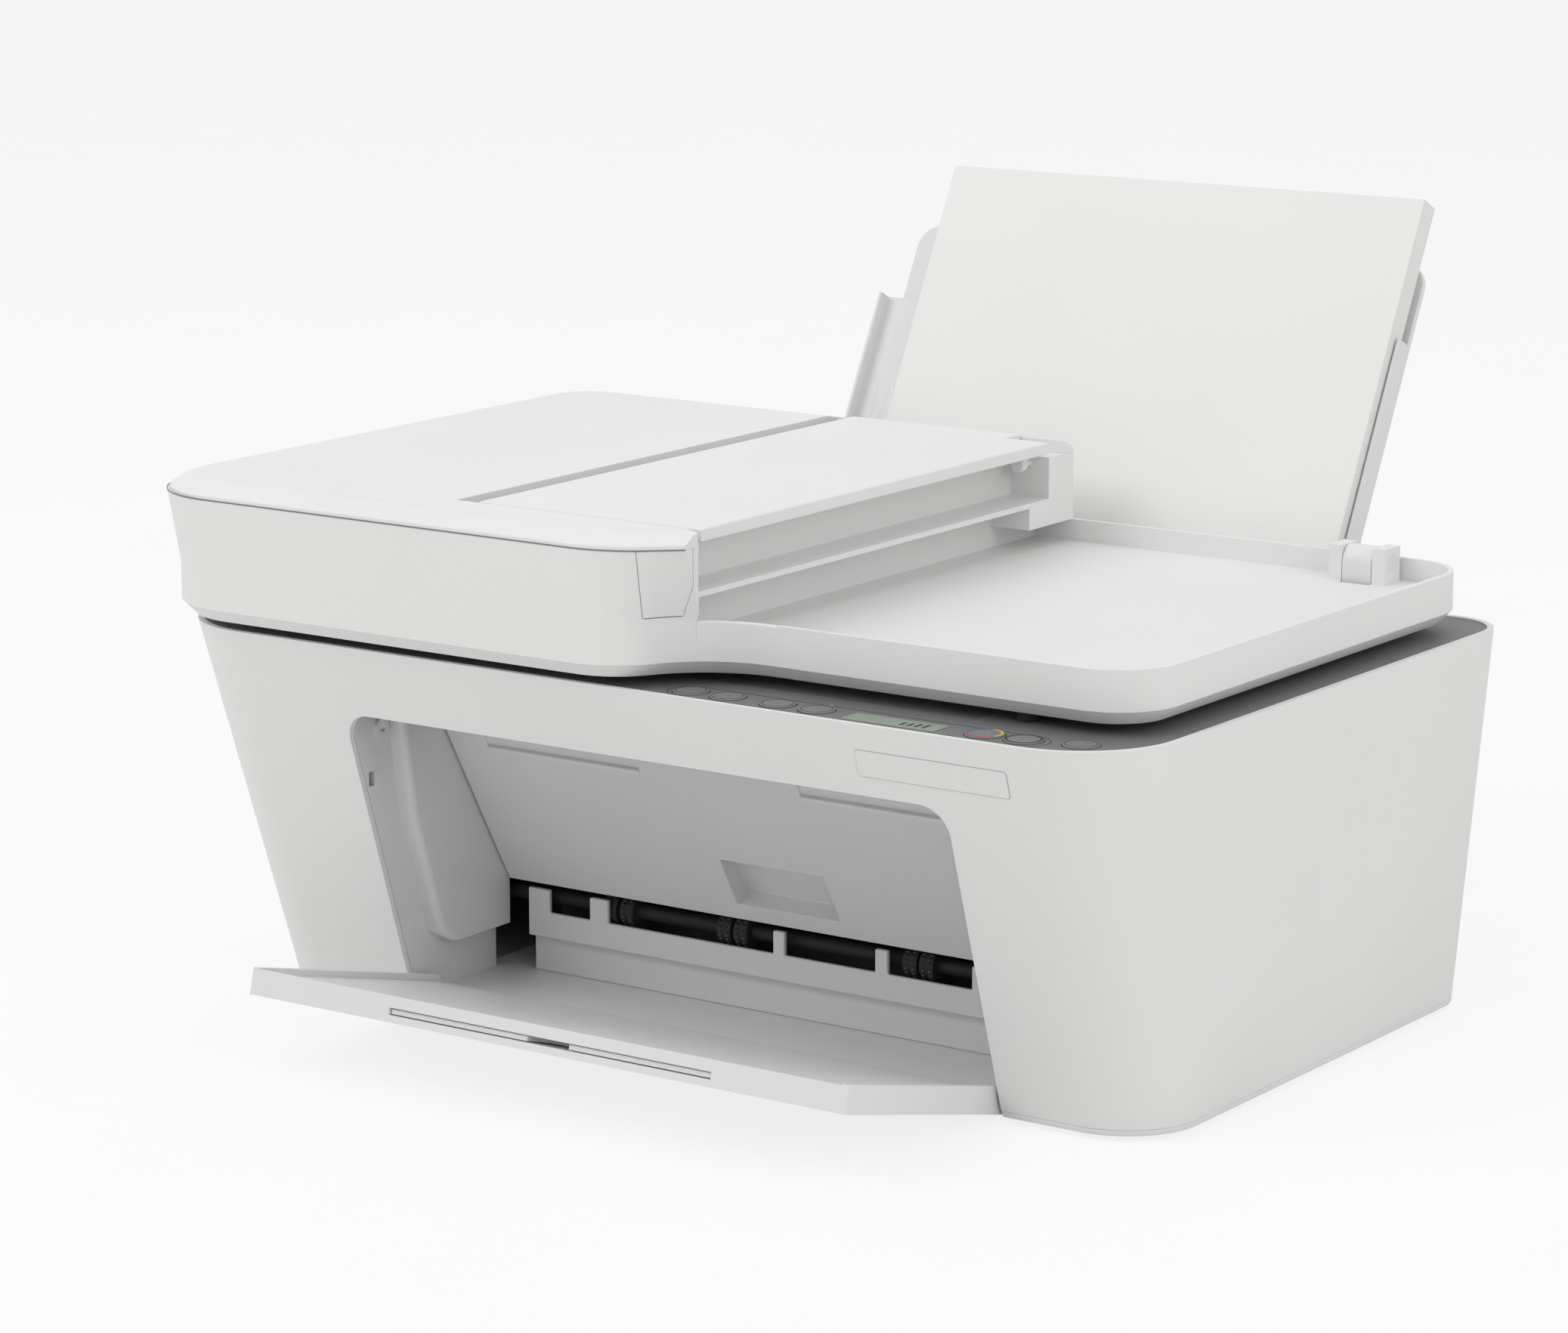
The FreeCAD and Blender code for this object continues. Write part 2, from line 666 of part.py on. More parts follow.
def cartridge_door():
    """Leaning door with a finger pocket, shallow slots and pivot pins."""
    x = (BAY_X0 + CHEEK_T + DOOR_GAP, BAY_X1 - DOOR_GAP)
    half = DOOR_T / 2
    parts = [box(x, (-half, half), (-door_length(), 0)), cyl_x(x[0], x[1], 0, 0, DOOR_PIN_R + half)]
    for end in ((x[0] - DOOR_PIN_L, x[0] + 1), (x[1] - 1, x[1] + DOOR_PIN_L)):
        parts.append(cyl_x(end[0], end[1], 0, 0, DOOR_PIN_R))
    s = (-DOOR_GRIP_S[1], -DOOR_GRIP_S[0])
    wide = (DOOR_GRIP_X[0] - DOOR_T, DOOR_GRIP_X[1] + DOOR_T)
    parts.append(box(wide, (0, half + DOOR_GRIP_D), (s[0] - DOOR_T, s[1] + DOOR_T)))
    door = join(parts)
    door = door.cut(box(DOOR_GRIP_X, (-half - 1, half + DOOR_GRIP_D - DOOR_T), s))
    for slot in DOOR_SLOT_X:
        door = door.cut(box(slot, (-half - 1, -half + DOOR_SLOT_D), (-DOOR_SLOT_S[1], -DOOR_SLOT_S[0])))
    lean = math.degrees(math.atan2(DOOR_FOOT_Y - DOOR_HINGE_Y, DOOR_HINGE_Z - DOOR_FOOT_Z))
    door.rotate(V(0, 0, 0), V(1, 0, 0), lean)
    door.translate(V(0, DOOR_HINGE_Y, DOOR_HINGE_Z))
    return door


def exit_ledge():
    """Castellated ledge in front of the exit roller."""
    wall = (LEDGE_Y[0], LEDGE_Y[0] + LEDGE_WALL)
    parts = [box(LEDGE_X, wall, (LEDGE_FLOOR[0], LEDGE_NOTCH)),
             box(LEDGE_X, LEDGE_Y, LEDGE_FLOOR),
             box(LEDGE_X, LEDGE_LEG_Y, (SHELL_Z, LEDGE_FLOOR[0]))]
    for tooth in LEDGE_TEETH:
        parts.append(box(tooth, wall, (LEDGE_NOTCH, LEDGE_TOP)))
    return join(parts)


def platen():
    """Ribbed platen under the carriage."""
    z = (PLATEN_TOP - PLATEN_T, PLATEN_TOP)
    parts = [box(LEDGE_X, PLATEN_Y, z)]
    for y in (PLATEN_Y[0], PLATEN_Y[1] - PLATEN_T):
        parts.append(box(LEDGE_X, (y, y + PLATEN_T), (SHELL_Z, z[0])))
    step = (LEDGE_X[1] - LEDGE_X[0]) / (PLATEN_RIBS + 1)
    for i in range(1, PLATEN_RIBS + 1):
        x = LEDGE_X[0] + i * step
        parts.append(box((x, x + PLATEN_RIB_H), PLATEN_Y, (z[1], z[1] + PLATEN_RIB_H)))
    return join(parts)


def idler_centre():
    """Centre of the idler gear on the line from the feed gear to the exit gear."""
    dy, dz = EXIT_Y - FEED_Y, EXIT_Z - FEED_Z
    share = GEAR_M * (FEED_TEETH + IDLER_TEETH) / 2 / (GEAR_M * (FEED_TEETH + 2 * IDLER_TEETH + EXIT_TEETH) / 2)
    return (FEED_Y + dy * share, FEED_Z + dz * share)


def pinion_centre():
    """Centre of the motor pinion above the feed gear."""
    r = GEAR_M * (FEED_TEETH + PINION_TEETH) / 2
    a = math.radians(PINION_ANGLE)
    return (FEED_Y + r * math.cos(a), FEED_Z + r * math.sin(a))


def chassis():
    """Steel frame with end plates, a back plate, the idler stub and the belt drum."""
    ends = ((CHASSIS_X0, CHASSIS_X0 + CHASSIS_T), (CHASSIS_X1 - CHASSIS_T, CHASSIS_X1))
    parts = [box(x, CHASSIS_Y, (SHELL_Z, CHASSIS_TOP)) for x in ends]
    parts.append(box((CHASSIS_X0, CHASSIS_X1), (CHASSIS_BACK_Y, CHASSIS_BACK_Y + CHASSIS_T),
                     (CHASSIS_BACK_Z, CHASSIS_TOP)))
    y, z = idler_centre()
    parts.append(cyl_x(GEAR_X[0] - 1, CHASSIS_X0 + 1, y, z, IDLER_PIN_R))
    parts.append(cyl_y(BELT_Y[0], CHASSIS_BACK_Y + 1, IDLE_X, BELT_Z, PULLEY_R))
    frame = join(parts)
    for y, z, r in ((FEED_Y, FEED_Z, FEED_SHAFT_R), (EXIT_Y, EXIT_Z, EXIT_SHAFT_R), (ROD_Y, ROD_Z, ROD_R)):
        frame = frame.cut(cyl_x(CHASSIS_X0 - 1, CHASSIS_X1 + 1, y, z, r + RUN))
    return frame.cut(cyl_y(CHASSIS_BACK_Y - 1, CHASSIS_BACK_Y + CHASSIS_T + 1, PULLEY_X, BELT_Z,
                           MOTOR_SHAFT_R + FIT))


def guide_rod():
    """Rod that carries the carriage."""
    return cyl_x(CHASSIS_X0, CHASSIS_X1, ROD_Y, ROD_Z, ROD_R)


def belt_loop(r, y):
    """Solid loop about the belt pulley and the drum."""
    return join([box((PULLEY_X, IDLE_X), y, (BELT_Z - r, BELT_Z + r)),
                 cyl_y(y[0], y[1], PULLEY_X, BELT_Z, r), cyl_y(y[0], y[1], IDLE_X, BELT_Z, r)])


def drive_belt():
    """Belt that pulls the carriage."""
    outer = belt_loop(PULLEY_R + FIT + BELT_T, BELT_Y)
    return outer.cut(belt_loop(PULLEY_R + FIT, (BELT_Y[0] - 1, BELT_Y[1] + 1)))


def carriage_motor():
    """Motor behind the chassis with the shaft of the belt pulley."""
    face = CHASSIS_BACK_Y + CHASSIS_T
    return join([cyl_y(face, face + CAR_MOTOR_L, PULLEY_X, BELT_Z, CAR_MOTOR_R),
                 cyl_y(BELT_Y[0], face + 1, PULLEY_X, BELT_Z, MOTOR_SHAFT_R)])


def belt_pulley():
    """Pulley on the carriage motor."""
    return cyl_y(BELT_Y[0], BELT_Y[1], PULLEY_X, BELT_Z, PULLEY_R).cut(
        cyl_y(BELT_Y[0] - 1, BELT_Y[1] + 1, PULLEY_X, BELT_Z, MOTOR_SHAFT_R + RUN))


def pocket(i):
    """X limits of one cartridge pocket of the carriage."""
    w = (CAR_W - 3 * CAR_WALL) / 2
    x0 = CAR_X0 + CAR_WALL + i * (w + CAR_WALL)
    return (x0, x0 + w)


def carriage():
    """Cartridge carriage that slides on the guide rod."""
    x = (CAR_X0, CAR_X0 + CAR_W)
    body = box(x, CAR_Y, CAR_Z)
    hub = box(x, (CAR_Y[1] - 1, ROD_Y + ROD_R + CAR_WALL), (ROD_Z - ROD_R - CAR_WALL, ROD_Z + ROD_R + CAR_WALL))
    low = BELT_Z - PULLEY_R - FIT - BELT_T - FIT
    clamp = box((CAR_X0 + CAR_W / 3, CAR_X0 + CAR_W / 2), (ROD_Y, BELT_Y[1]), (low - 2 * CAR_WALL, low))
    body = join([body, hub, clamp]).cut(cyl_x(x[0] - 1, x[1] + 1, ROD_Y, ROD_Z, ROD_R + RUN))
    for i in (0, 1):
        p = pocket(i)
        y = (CAR_Y[0] + CAR_WALL, CAR_Y[1] - CAR_WALL)
        body = body.cut(box(p, y, (CAR_Z[0] + CAR_FLOOR, CAR_Z[1] + 1)))
        body = body.cut(box(p, (CAR_Y[0] - 1, y[0] + 1), (CAR_SILL, CAR_Z[1] + 1)))
        n = NOZZLE_IN - FIT
        body = body.cut(box((p[0] + n, p[1] - n), (y[0] + n, y[1] - n), (CAR_Z[0] - 1, CAR_Z[1])))
    return body


def cartridge(i):
    """Ink cartridge with its nozzle block."""
    p = pocket(i)
    x = (p[0] + FIT, p[1] - FIT)
    y = (CAR_Y[0] + CAR_WALL + FIT, CAR_Y[1] - CAR_WALL - FIT)
    z = CAR_Z[0] + CAR_FLOOR
    nose = box((p[0] + NOZZLE_IN, p[1] - NOZZLE_IN),
               (CAR_Y[0] + CAR_WALL + NOZZLE_IN, CAR_Y[1] - CAR_WALL - NOZZLE_IN), (NOZZLE_Z, z + 1))
    return join([box(x, y, (z, CART_TOP)), nose])


def gear(teeth, centre, phase, bore):
    """Spur gear about X with straight-flanked teeth and generous backlash."""
    r = GEAR_M * teeth / 2
    tan = math.tan(math.radians(20))
    half = GEAR_M * math.pi / 4 - GEAR_BACKLASH / 2
    points = []
    for i in range(teeth):
        mid = phase + 2 * math.pi * i / teeth
        for rise, way in ((-1.25, -1), (0.95, -1), (0.95, 1), (-1.25, 1)):
            rr = r + rise * GEAR_M
            turn = way * (half - tan * rise * GEAR_M) / r
            points.append((centre[0] + rr * math.cos(mid + turn), centre[1] + rr * math.sin(mid + turn)))
    wheel = prism_x(points, GEAR_X[0], GEAR_X[1])
    return wheel.cut(cyl_x(GEAR_X[0] - 1, GEAR_X[1] + 1, centre[0], centre[1], bore))


def mesh_phase(phase, teeth, beta, mate):
    """Phase of a mating gear so that its gap faces a tooth along the line of centres."""
    r0, r1 = GEAR_M * teeth / 2, GEAR_M * mate / 2
    return beta + math.pi + (GEAR_M * math.pi / 2 - r0 * (phase - beta)) / r1


def gear_set():
    """The four gears of the paper feed, in mesh."""
    idle, pin = idler_centre(), pinion_centre()
    to_idle = math.atan2(idle[1] - FEED_Z, idle[0] - FEED_Y)
    idle_phase = mesh_phase(to_idle, FEED_TEETH, to_idle, IDLER_TEETH)
    exit_phase = mesh_phase(idle_phase, IDLER_TEETH, to_idle, EXIT_TEETH)
    pin_phase = mesh_phase(to_idle, FEED_TEETH, math.radians(PINION_ANGLE), PINION_TEETH)
    return {
        "feed_gear": gear(FEED_TEETH, (FEED_Y, FEED_Z), to_idle, FEED_SHAFT_R + RUN),
        "idler_gear": gear(IDLER_TEETH, idle, idle_phase, IDLER_PIN_R + RUN),
        "exit_gear": gear(EXIT_TEETH, (EXIT_Y, EXIT_Z), exit_phase, EXIT_SHAFT_R + RUN),
        "motor_pinion": gear(PINION_TEETH, pin, pin_phase, MOTOR_SHAFT_R + RUN),
    }


def exit_roller():
    """Exit shaft with its soft wheels."""
    parts = [cyl_x(GEAR_X[0] - 1, CHASSIS_X1, EXIT_Y, EXIT_Z, EXIT_SHAFT_R)]
    for x in EXIT_WHEELS:
        parts.append(cyl_x(x - EXIT_WHEEL_W / 2, x + EXIT_WHEEL_W / 2, EXIT_Y, EXIT_Z, EXIT_WHEEL_R))
    return join(parts)


def feed_roller():
    """Feed shaft with three tyres."""
    parts = [cyl_x(GEAR_X[0] - 1, CHASSIS_X1, FEED_Y, FEED_Z, FEED_SHAFT_R)]
    for x in FEED_TYRES:
        parts.append(cyl_x(x[0], x[1], FEED_Y, FEED_Z, FEED_R))
    return join(parts)


def pick_roller():
    """Roller that picks the front sheet of the stack."""
    y, z = path_point(PICK_A, -PICK_R - FIT)
    return join([cyl_x(THROAT_X0, THROAT_X1, y, z, PICK_SHAFT_R), cyl_x(PICK_X[0], PICK_X[1], y, z, PICK_R)])


def feed_motor():
    """Feed motor on its saddle, with the pinion shaft."""
    y, z = pinion_centre()
    body = cyl_x(FEED_MOTOR_X[0], FEED_MOTOR_X[1], y, z, FEED_MOTOR_R)
    saddle = box(FEED_MOTOR_X, (y - FEED_MOTOR_R / 2, y + FEED_MOTOR_R / 2), (SHELL_Z, z))
    return join([body, saddle, cyl_x(FEED_MOTOR_X[1] - 1, GEAR_X[1], y, z, MOTOR_SHAFT_R)])


def main_board():
    """Main board on edge beside the power supply, with its larger chips."""
    face = BOARD_X + BOARD_T
    mid = (BOARD_Y[0] + BOARD_Y[1]) / 2
    chip = BOARD_T * 2
    parts = [box((BOARD_X, face), BOARD_Y, (SHELL_Z, BOARD_TOP))]
    for dy, dz, s in ((-40, 30, 11), (0, 28, 14), (38, 24, 9)):
        z = BOARD_TOP - dz
        parts.append(box((face, face + chip), (mid + dy - s, mid + dy + s), (z - s, z + s)))
    return join(parts)


def power_supply():
    """Power supply block on the pan."""
    return box(SUPPLY_X, SUPPLY_Y, (SHELL_Z, SUPPLY_TOP))


def port(x, top, depth, tongue):
    """Socket that opens to the rear, with its contacts."""
    body = box(x, (LOW_REAR - depth, LOW_REAR), (SHELL_Z, top))
    hole = ((x[0] + PORT_WALL, x[1] - PORT_WALL), (SHELL_Z + PORT_WALL, top - PORT_WALL))
    body = body.cut(box(hole[0], (LOW_REAR - depth + PORT_WALL, LOW_REAR + 1), hole[1]))
    mid = (hole[1][0] + hole[1][1]) / 2
    pins = [body]
    for t in tongue:
        pins.append(box(t, (LOW_REAR - depth + PORT_WALL - 1, LOW_REAR - depth + PORT_WALL * 2), (mid - 1, mid + 1)))
    return join(pins)


def power_inlet():
    """Two-pin mains inlet."""
    mid = (INLET_X[0] + INLET_X[1]) / 2
    return port(INLET_X, INLET_TOP, INLET_DEPTH, ((mid - 6, mid - 4), (mid + 4, mid + 6)))


def usb_port():
    """Square data socket."""
    mid = (USB_X[0] + USB_X[1]) / 2
    return port(USB_X, USB_TOP, USB_DEPTH, ((mid - 2, mid + 2),))


def paper_chute():
    """Rear paper chute: throat walls, roller lugs and the rear housing."""
    w = THROAT_WALL
    back = THROAT_BACK + w
    x = (THROAT_X0, THROAT_X1)
    parts = [leaned(box(x, (THROAT_BACK, back), (-CHUTE_FLOOR_T - FIT, CHUTE_BACK_A))),
             leaned(box(x, (-1, back), (-CHUTE_FLOOR_T - FIT, -FIT))),
             leaned(box(x, (-THROAT_GAP, -THROAT_GAP + w), THROAT_FRONT_A))]
    wall = [path_point(CHUTE_SIDE_A, -THROAT_GAP), path_point(CHUTE_SIDE_A, back),
            path_point(-CHUTE_FLOOR_T - FIT, back), (CHUTE_FOOT_Y[1], SHELL_Z), (CHUTE_FOOT_Y[0], SHELL_Z),
            path_point(CHUTE_LUG_A[0], CHUTE_LUG_O), path_point(CHUTE_LUG_A[1], CHUTE_LUG_O),
            path_point(THROAT_FRONT_A[0], -THROAT_GAP)]
    a = math.radians(LEAN)
    low = path_point((HOUSING_LOW - PATH_Z + back * math.sin(a)) / math.cos(a), back)
    high = path_point((HOUSING_TOP - PATH_Z + back * math.sin(a)) / math.cos(a), back)
    b0, b1 = HOUSING_BEND
    knee = (LOW_REAR + w, HOUSING_LOW)
    cap = [low, knee, b0, b1, (b1[0], HOUSING_TOP), high]
    skin = [low, knee, b0, b1, (b1[0], HOUSING_TOP), (b1[0] - w, HOUSING_TOP), (b1[0] - w, b1[1] + 1),
            (b0[0] - 1, b0[1] + w), (knee[0] - 1, knee[1] + w), (low[0], low[1] + w)]
    parts.append(prism_x(skin, x[0], x[1]))
    for side in ((x[0], x[0] + w), (x[1] - w, x[1])):
        parts.append(prism_x(wall, side[0], side[1]))
        parts.append(prism_x(cap, side[0], side[1]))
    y, z = path_point(PICK_A, -PICK_R - FIT)
    return join(parts).cut(cyl_x(x[0] - 1, x[1] + 1, y, z, PICK_SHAFT_R + RUN))


def tray_runners():
    """Two runners on the back wall of the chute that the input tray slides on."""
    front = STACK_T + FIT + IN_TRAY_T + FIT
    left = (IN_TRAY_X[0], IN_TRAY_X[0] + RUNNER_W)
    right = (EXT_X[1] + FIT, THROAT_X1 - THROAT_WALL)
    return Part.makeCompound([leaned(box(x, (front, THROAT_BACK), (0, CHUTE_BACK_A))) for x in (left, right)])


def input_tray():
    """Input tray behind the stack, with side lips."""
    face = STACK_T + FIT
    parts = [box(IN_TRAY_X, (face, face + IN_TRAY_T), IN_TRAY_A)]
    for side in ((IN_TRAY_X[0], IN_TRAY_X[0] + IN_LIP_T), (IN_TRAY_X[1] - IN_LIP_T, IN_TRAY_X[1])):
        parts.append(box(side, (face - IN_LIP_H, face + IN_TRAY_T), IN_TRAY_A))
    return leaned(join(parts))


def tray_extension():
    """Sliding extension behind the input tray, with rounded upper corners."""
    face = STACK_T + FIT + IN_TRAY_T + FIT
    plate = box(EXT_X, (face, face + EXT_T), EXT_A)
    top = edges_at(plate, lambda p: abs(p.z - EXT_A[1]) < 0.01)
    side = [e for e in top if abs(e.Vertexes[0].X - e.Vertexes[1].X) < 0.01]
    return leaned(plate.makeFillet(EXT_R, side))


def width_guide():
    """Sliding guide at the left edge of the stack."""
    x1 = SHEET_X0 - FIT
    x0 = x1 - GUIDE_T
    blade = box((x0, x1), (1, STACK_T), GUIDE_A)
    base = box((x0 - GUIDE_BASE_W, x1), (STACK_T - GUIDE_T, STACK_T), GUIDE_A)
    return leaned(join([blade, base]))


def paper_stack():
    """Blank sheets in the input tray."""
    return leaned(box((SHEET_X0, SHEET_X0 + SHEET_W), (0, STACK_T), (0, SHEET_L)))


def lid_outline(z, inset):
    """Plan of the lid: a deep left part that curves back to the shallow right part."""
    x0, x1 = LID_LEFT + inset, LID_RIGHT - inset
    front, step, rear = ADF_FRONT + inset, LID_FRONT + inset, LID_REAR - inset
    r0, r = ADF_R - inset, LID_R - inset
    r1, r2 = ADF_BEND_R - inset, ADF_BEND_R2 + inset
    turn = math.degrees(math.acos(1 - (step - front) / (r1 + r2)))
    x2 = ADF_BEND_X + (r1 + r2) * math.sin(math.radians(turn))
    edges = [
        arc_edge(x0 + r0, front + r0, r0, 180, 90, z),
        line_edge((x0 + r0, front), (ADF_BEND_X, front), z),
        arc_edge(ADF_BEND_X, front + r1, r1, -90, turn, z),
        arc_edge(x2, step - r2, r2, 90 + turn, -turn, z),
        line_edge((x2, step), (x1 - r, step), z),
        arc_edge(x1 - r, step + r, r, -90, 90, z),
        line_edge((x1, step + r), (x1, rear - r), z),
        arc_edge(x1 - r, rear - r, r, 0, 90, z),
        line_edge((x1 - r, rear), (x0 + r, rear), z),
        arc_edge(x0 + r, rear - r, r, 90, 90, z),
        line_edge((x0, rear - r), (x0, front + r0), z),
    ]
    return Part.Wire(edges)


def feeder_bend(z, inset):
    """Curved front corner of the feeder where it meets the lid, up to its right end."""
    front, step = ADF_FRONT + inset, LID_FRONT + inset
    r1, r2 = ADF_BEND_R - inset, ADF_BEND_R2 + inset
    turn = math.degrees(math.acos(1 - (step - front) / (r1 + r2)))
    x2 = ADF_BEND_X + (r1 + r2) * math.sin(math.radians(turn))
    stop = math.degrees(math.acos((ADF_RIGHT - x2) / r2))
    return [arc_edge(ADF_BEND_X, front + r1, r1, -90, turn, z),
            arc_edge(x2, step - r2, r2, 90 + turn, stop - 90 - turn, z)]


def feeder_corner(z, inset):
    """Rounder front corner of the feeder under its cover."""
    front = ADF_FRONT + inset
    p, q = [(x, y + inset) for x, y in ADF_CORNER]
    swing = 2 * math.atan2(p[1] - front, p[0] - ADF_BEND_X)
    r = math.hypot(p[0] - ADF_BEND_X, p[1] - front) / 2 / math.sin(swing / 2)
    return [arc_edge(ADF_BEND_X, front + r, r, -90, math.degrees(swing), z), line_edge(p, q, z)]


def feeder_outline(z, left, inset, corner):
    """Plan of the document feeder, flat at its right end."""
    x0, front, rear = left + inset, ADF_FRONT + inset, ADF_REAR - inset
    r0, rr = ADF_R - inset, ADF_R_REAR
    bend = corner(z, inset)
    end = bend[-1].Vertexes[-1].Point
    edges = [
        arc_edge(x0 + r0, front + r0, r0, 180, 90, z),
        line_edge((x0 + r0, front), (ADF_BEND_X, front), z),
        bend[0],
        bend[1],
        line_edge((end.x, end.y), (ADF_RIGHT, rear), z),
        line_edge((ADF_RIGHT, rear), (x0 + rr, rear), z),
        arc_edge(x0 + rr, rear - rr, rr, 90, 90, z),
        line_edge((x0, rear - rr), (x0, front + r0), z),
    ]
    return Part.Wire(edges)


def feeder_block():
    """Outer volume of the document feeder below its cover."""
    return Part.makeLoft([feeder_outline(LID_RIM_Z, LID_LEFT, 0, feeder_bend),
                          feeder_outline(ADF_SEAM, ADF_LEFT, 0, feeder_corner)], True, True)


def panel_zone(grow):
    """Zone of the end panel on the front leg of the feeder."""
    return box((PANEL_X - grow, ADF_RIGHT + 1), (ADF_FRONT - 1, PANEL_REAR + grow),
               (PANEL_Z0 - grow, ADF_SEAM + grow))


def lid_shell():
    """Lid with the paper tray, the feeder walls, the output slot and the hinge ears."""
    z1 = LID_Z + LID_CHAMFER
    band = Part.makeLoft([lid_outline(LID_Z, LID_CHAMFER), lid_outline(z1, 0)], True, True)
    recess = Part.Face(lid_outline(LID_FLOOR, LID_RIM_T)).extrude(V(0, 0, LID_RIM_Z))
    recess = recess.common(box((BED_X, RIM_HALF_W), (ADF_FRONT, RIM_REAR), (LID_FLOOR, LID_RIM_Z * 2)))
    cave = Part.Face(feeder_outline(LID_FLOOR, LID_LEFT, LID_SKIN, feeder_bend)).extrude(V(0, 0, LID_RIM_Z))
    cave = cave.common(box((-RIM_HALF_W, BED_X - LID_SKIN), (ADF_FRONT, RIM_REAR), (LID_FLOOR, LID_RIM_Z * 2)))
    low = Part.Face(lid_outline(z1, 0)).extrude(V(0, 0, LID_RIM_Z - z1)).cut(recess)
    body = join([band, low, feeder_block()]).cut(cave)
    body = body.cut(box((BED_X, ADF_RIGHT * 2), SLOT_Y, (LID_FLOOR, SLOT_Z[1])))
    shelf = SLOT_Z[1] + SHELF_T
    body = body.cut(box((BED_X, ADF_RIGHT + 1), SHELF_Y, (shelf, ADF_SEAM + 1)))
    body = body.cut(panel_zone(FIT))
    body = body.cut(glass_block(PAD_X, PAD_Y, FIT, LID_Z - 1, PAD_SEAT))
    ears = []
    for x in HINGE_X:
        for side in (-1, 1):
            a = x + side * (HINGE_W / 2 + FIT)
            b = a + side * EAR_T
            ears.append(box((min(a, b), max(a, b)), (HINGE_Y - HINGE_R, HINGE_Y + HINGE_R),
                            (LID_FLOOR - 1, HINGE_Z + HINGE_R)))
    body = join([body] + ears)
    for x in HINGE_X:
        half = HINGE_W / 2 + FIT
        body = body.cut(box((x - half, x + half), (HINGE_Y - HINGE_R - 2, LID_REAR + 1),
                            (LID_Z - 1, HINGE_Z + HINGE_R + 2)))
        reach = half + EAR_T + 1
        body = body.cut(cyl_x(x - reach, x + reach, HINGE_Y, HINGE_Z, HINGE_PIN_R + RUN))
    body = body.cut(cyl_y(COVER_BARREL_Y[0] - FIT, COVER_BARREL_Y[1] + FIT, COVER_AXIS_X, ADF_SEAM,
                          COVER_BARREL_R + FIT))
    return body.cut(cyl_y(SHELF_Y[0] - FLAP_PIN_L - FIT, SHELF_Y[1] + FLAP_PIN_L + FIT,
                          FLAP_PIVOT_X, FLAP_PIVOT_Z, FLAP_PIN_R + RUN))


def lid_hinges():
    """Two hinge posts on the deck with their pins."""
    parts = []
    for x in HINGE_X:
        half = HINGE_W / 2
        post = box((x - half, x + half), (HINGE_Y - HINGE_R, HINGE_Y + HINGE_R), (DECK_TOP, HINGE_Z))
        top = cyl_x(x - half, x + half, HINGE_Y, HINGE_Z, HINGE_R)
        reach = half + FIT + EAR_T
        parts.append(join([post, top, cyl_x(x - reach, x + reach, HINGE_Y, HINGE_Z, HINGE_PIN_R)]))
    return Part.makeCompound(parts)


def lid_pad():
    """White backing pad over the glass."""
    return box(PAD_X, PAD_Y, (LID_Z - PAD_T, PAD_SEAT))


def lid_bumpers():
    """Rubber bumpers between the lid and the deck."""
    return Part.makeCompound([cyl_z(DECK_TOP + FIT, LID_Z, x, y, BUMPER_R)
                              for x in BUMPER_X for y in BUMPER_Y])


def adf_frame():
    """Paper bed of the feeder, with ribs to the lid and posts for the pick roller."""
    x = (BED_LEFT, BED_X - LID_SKIN - FIT)
    parts = [box(x, BED_Y, (BED_Z - BED_T, BED_Z))]
    for rib in (x[0], x[1] - BED_RIB):
        parts.append(box((rib, rib + BED_RIB), BED_Y, (LID_FLOOR, BED_Z)))
    reach = ADF_ROLL_R + FIT * 4
    posts = (ADF_ROLL_Y[0] - FIT * 4 - ROLL_POST, ADF_ROLL_Y[1] + FIT * 4)
    for y in posts:
        parts.append(box((ADF_ROLL_X - reach, ADF_ROLL_X + reach), (y, y + ROLL_POST), (LID_FLOOR, BED_Z)))
    frame = join(parts).cut(box((ADF_ROLL_X - reach, ADF_ROLL_X + reach),
                                (posts[0] + ROLL_POST, posts[1]), (LID_FLOOR - 1, BED_Z + 1)))
    return frame.cut(cyl_y(posts[0] - 1, posts[1] + ROLL_POST + 1, ADF_ROLL_X, ADF_ROLL_Z,
                           ADF_ROLL_SHAFT_R + RUN))


def adf_roller():
    """Pick roller of the document feeder."""
    reach = FIT * 4 + ROLL_POST
    return join([cyl_y(ADF_ROLL_Y[0], ADF_ROLL_Y[1], ADF_ROLL_X, ADF_ROLL_Z, ADF_ROLL_R),
                 cyl_y(ADF_ROLL_Y[0] - reach, ADF_ROLL_Y[1] + reach, ADF_ROLL_X, ADF_ROLL_Z, ADF_ROLL_SHAFT_R)])


def adf_end_panel():
    """Panel that closes the right end of the feeder's front leg."""
    zone = panel_zone(0)
    return feeder_block().common(zone)


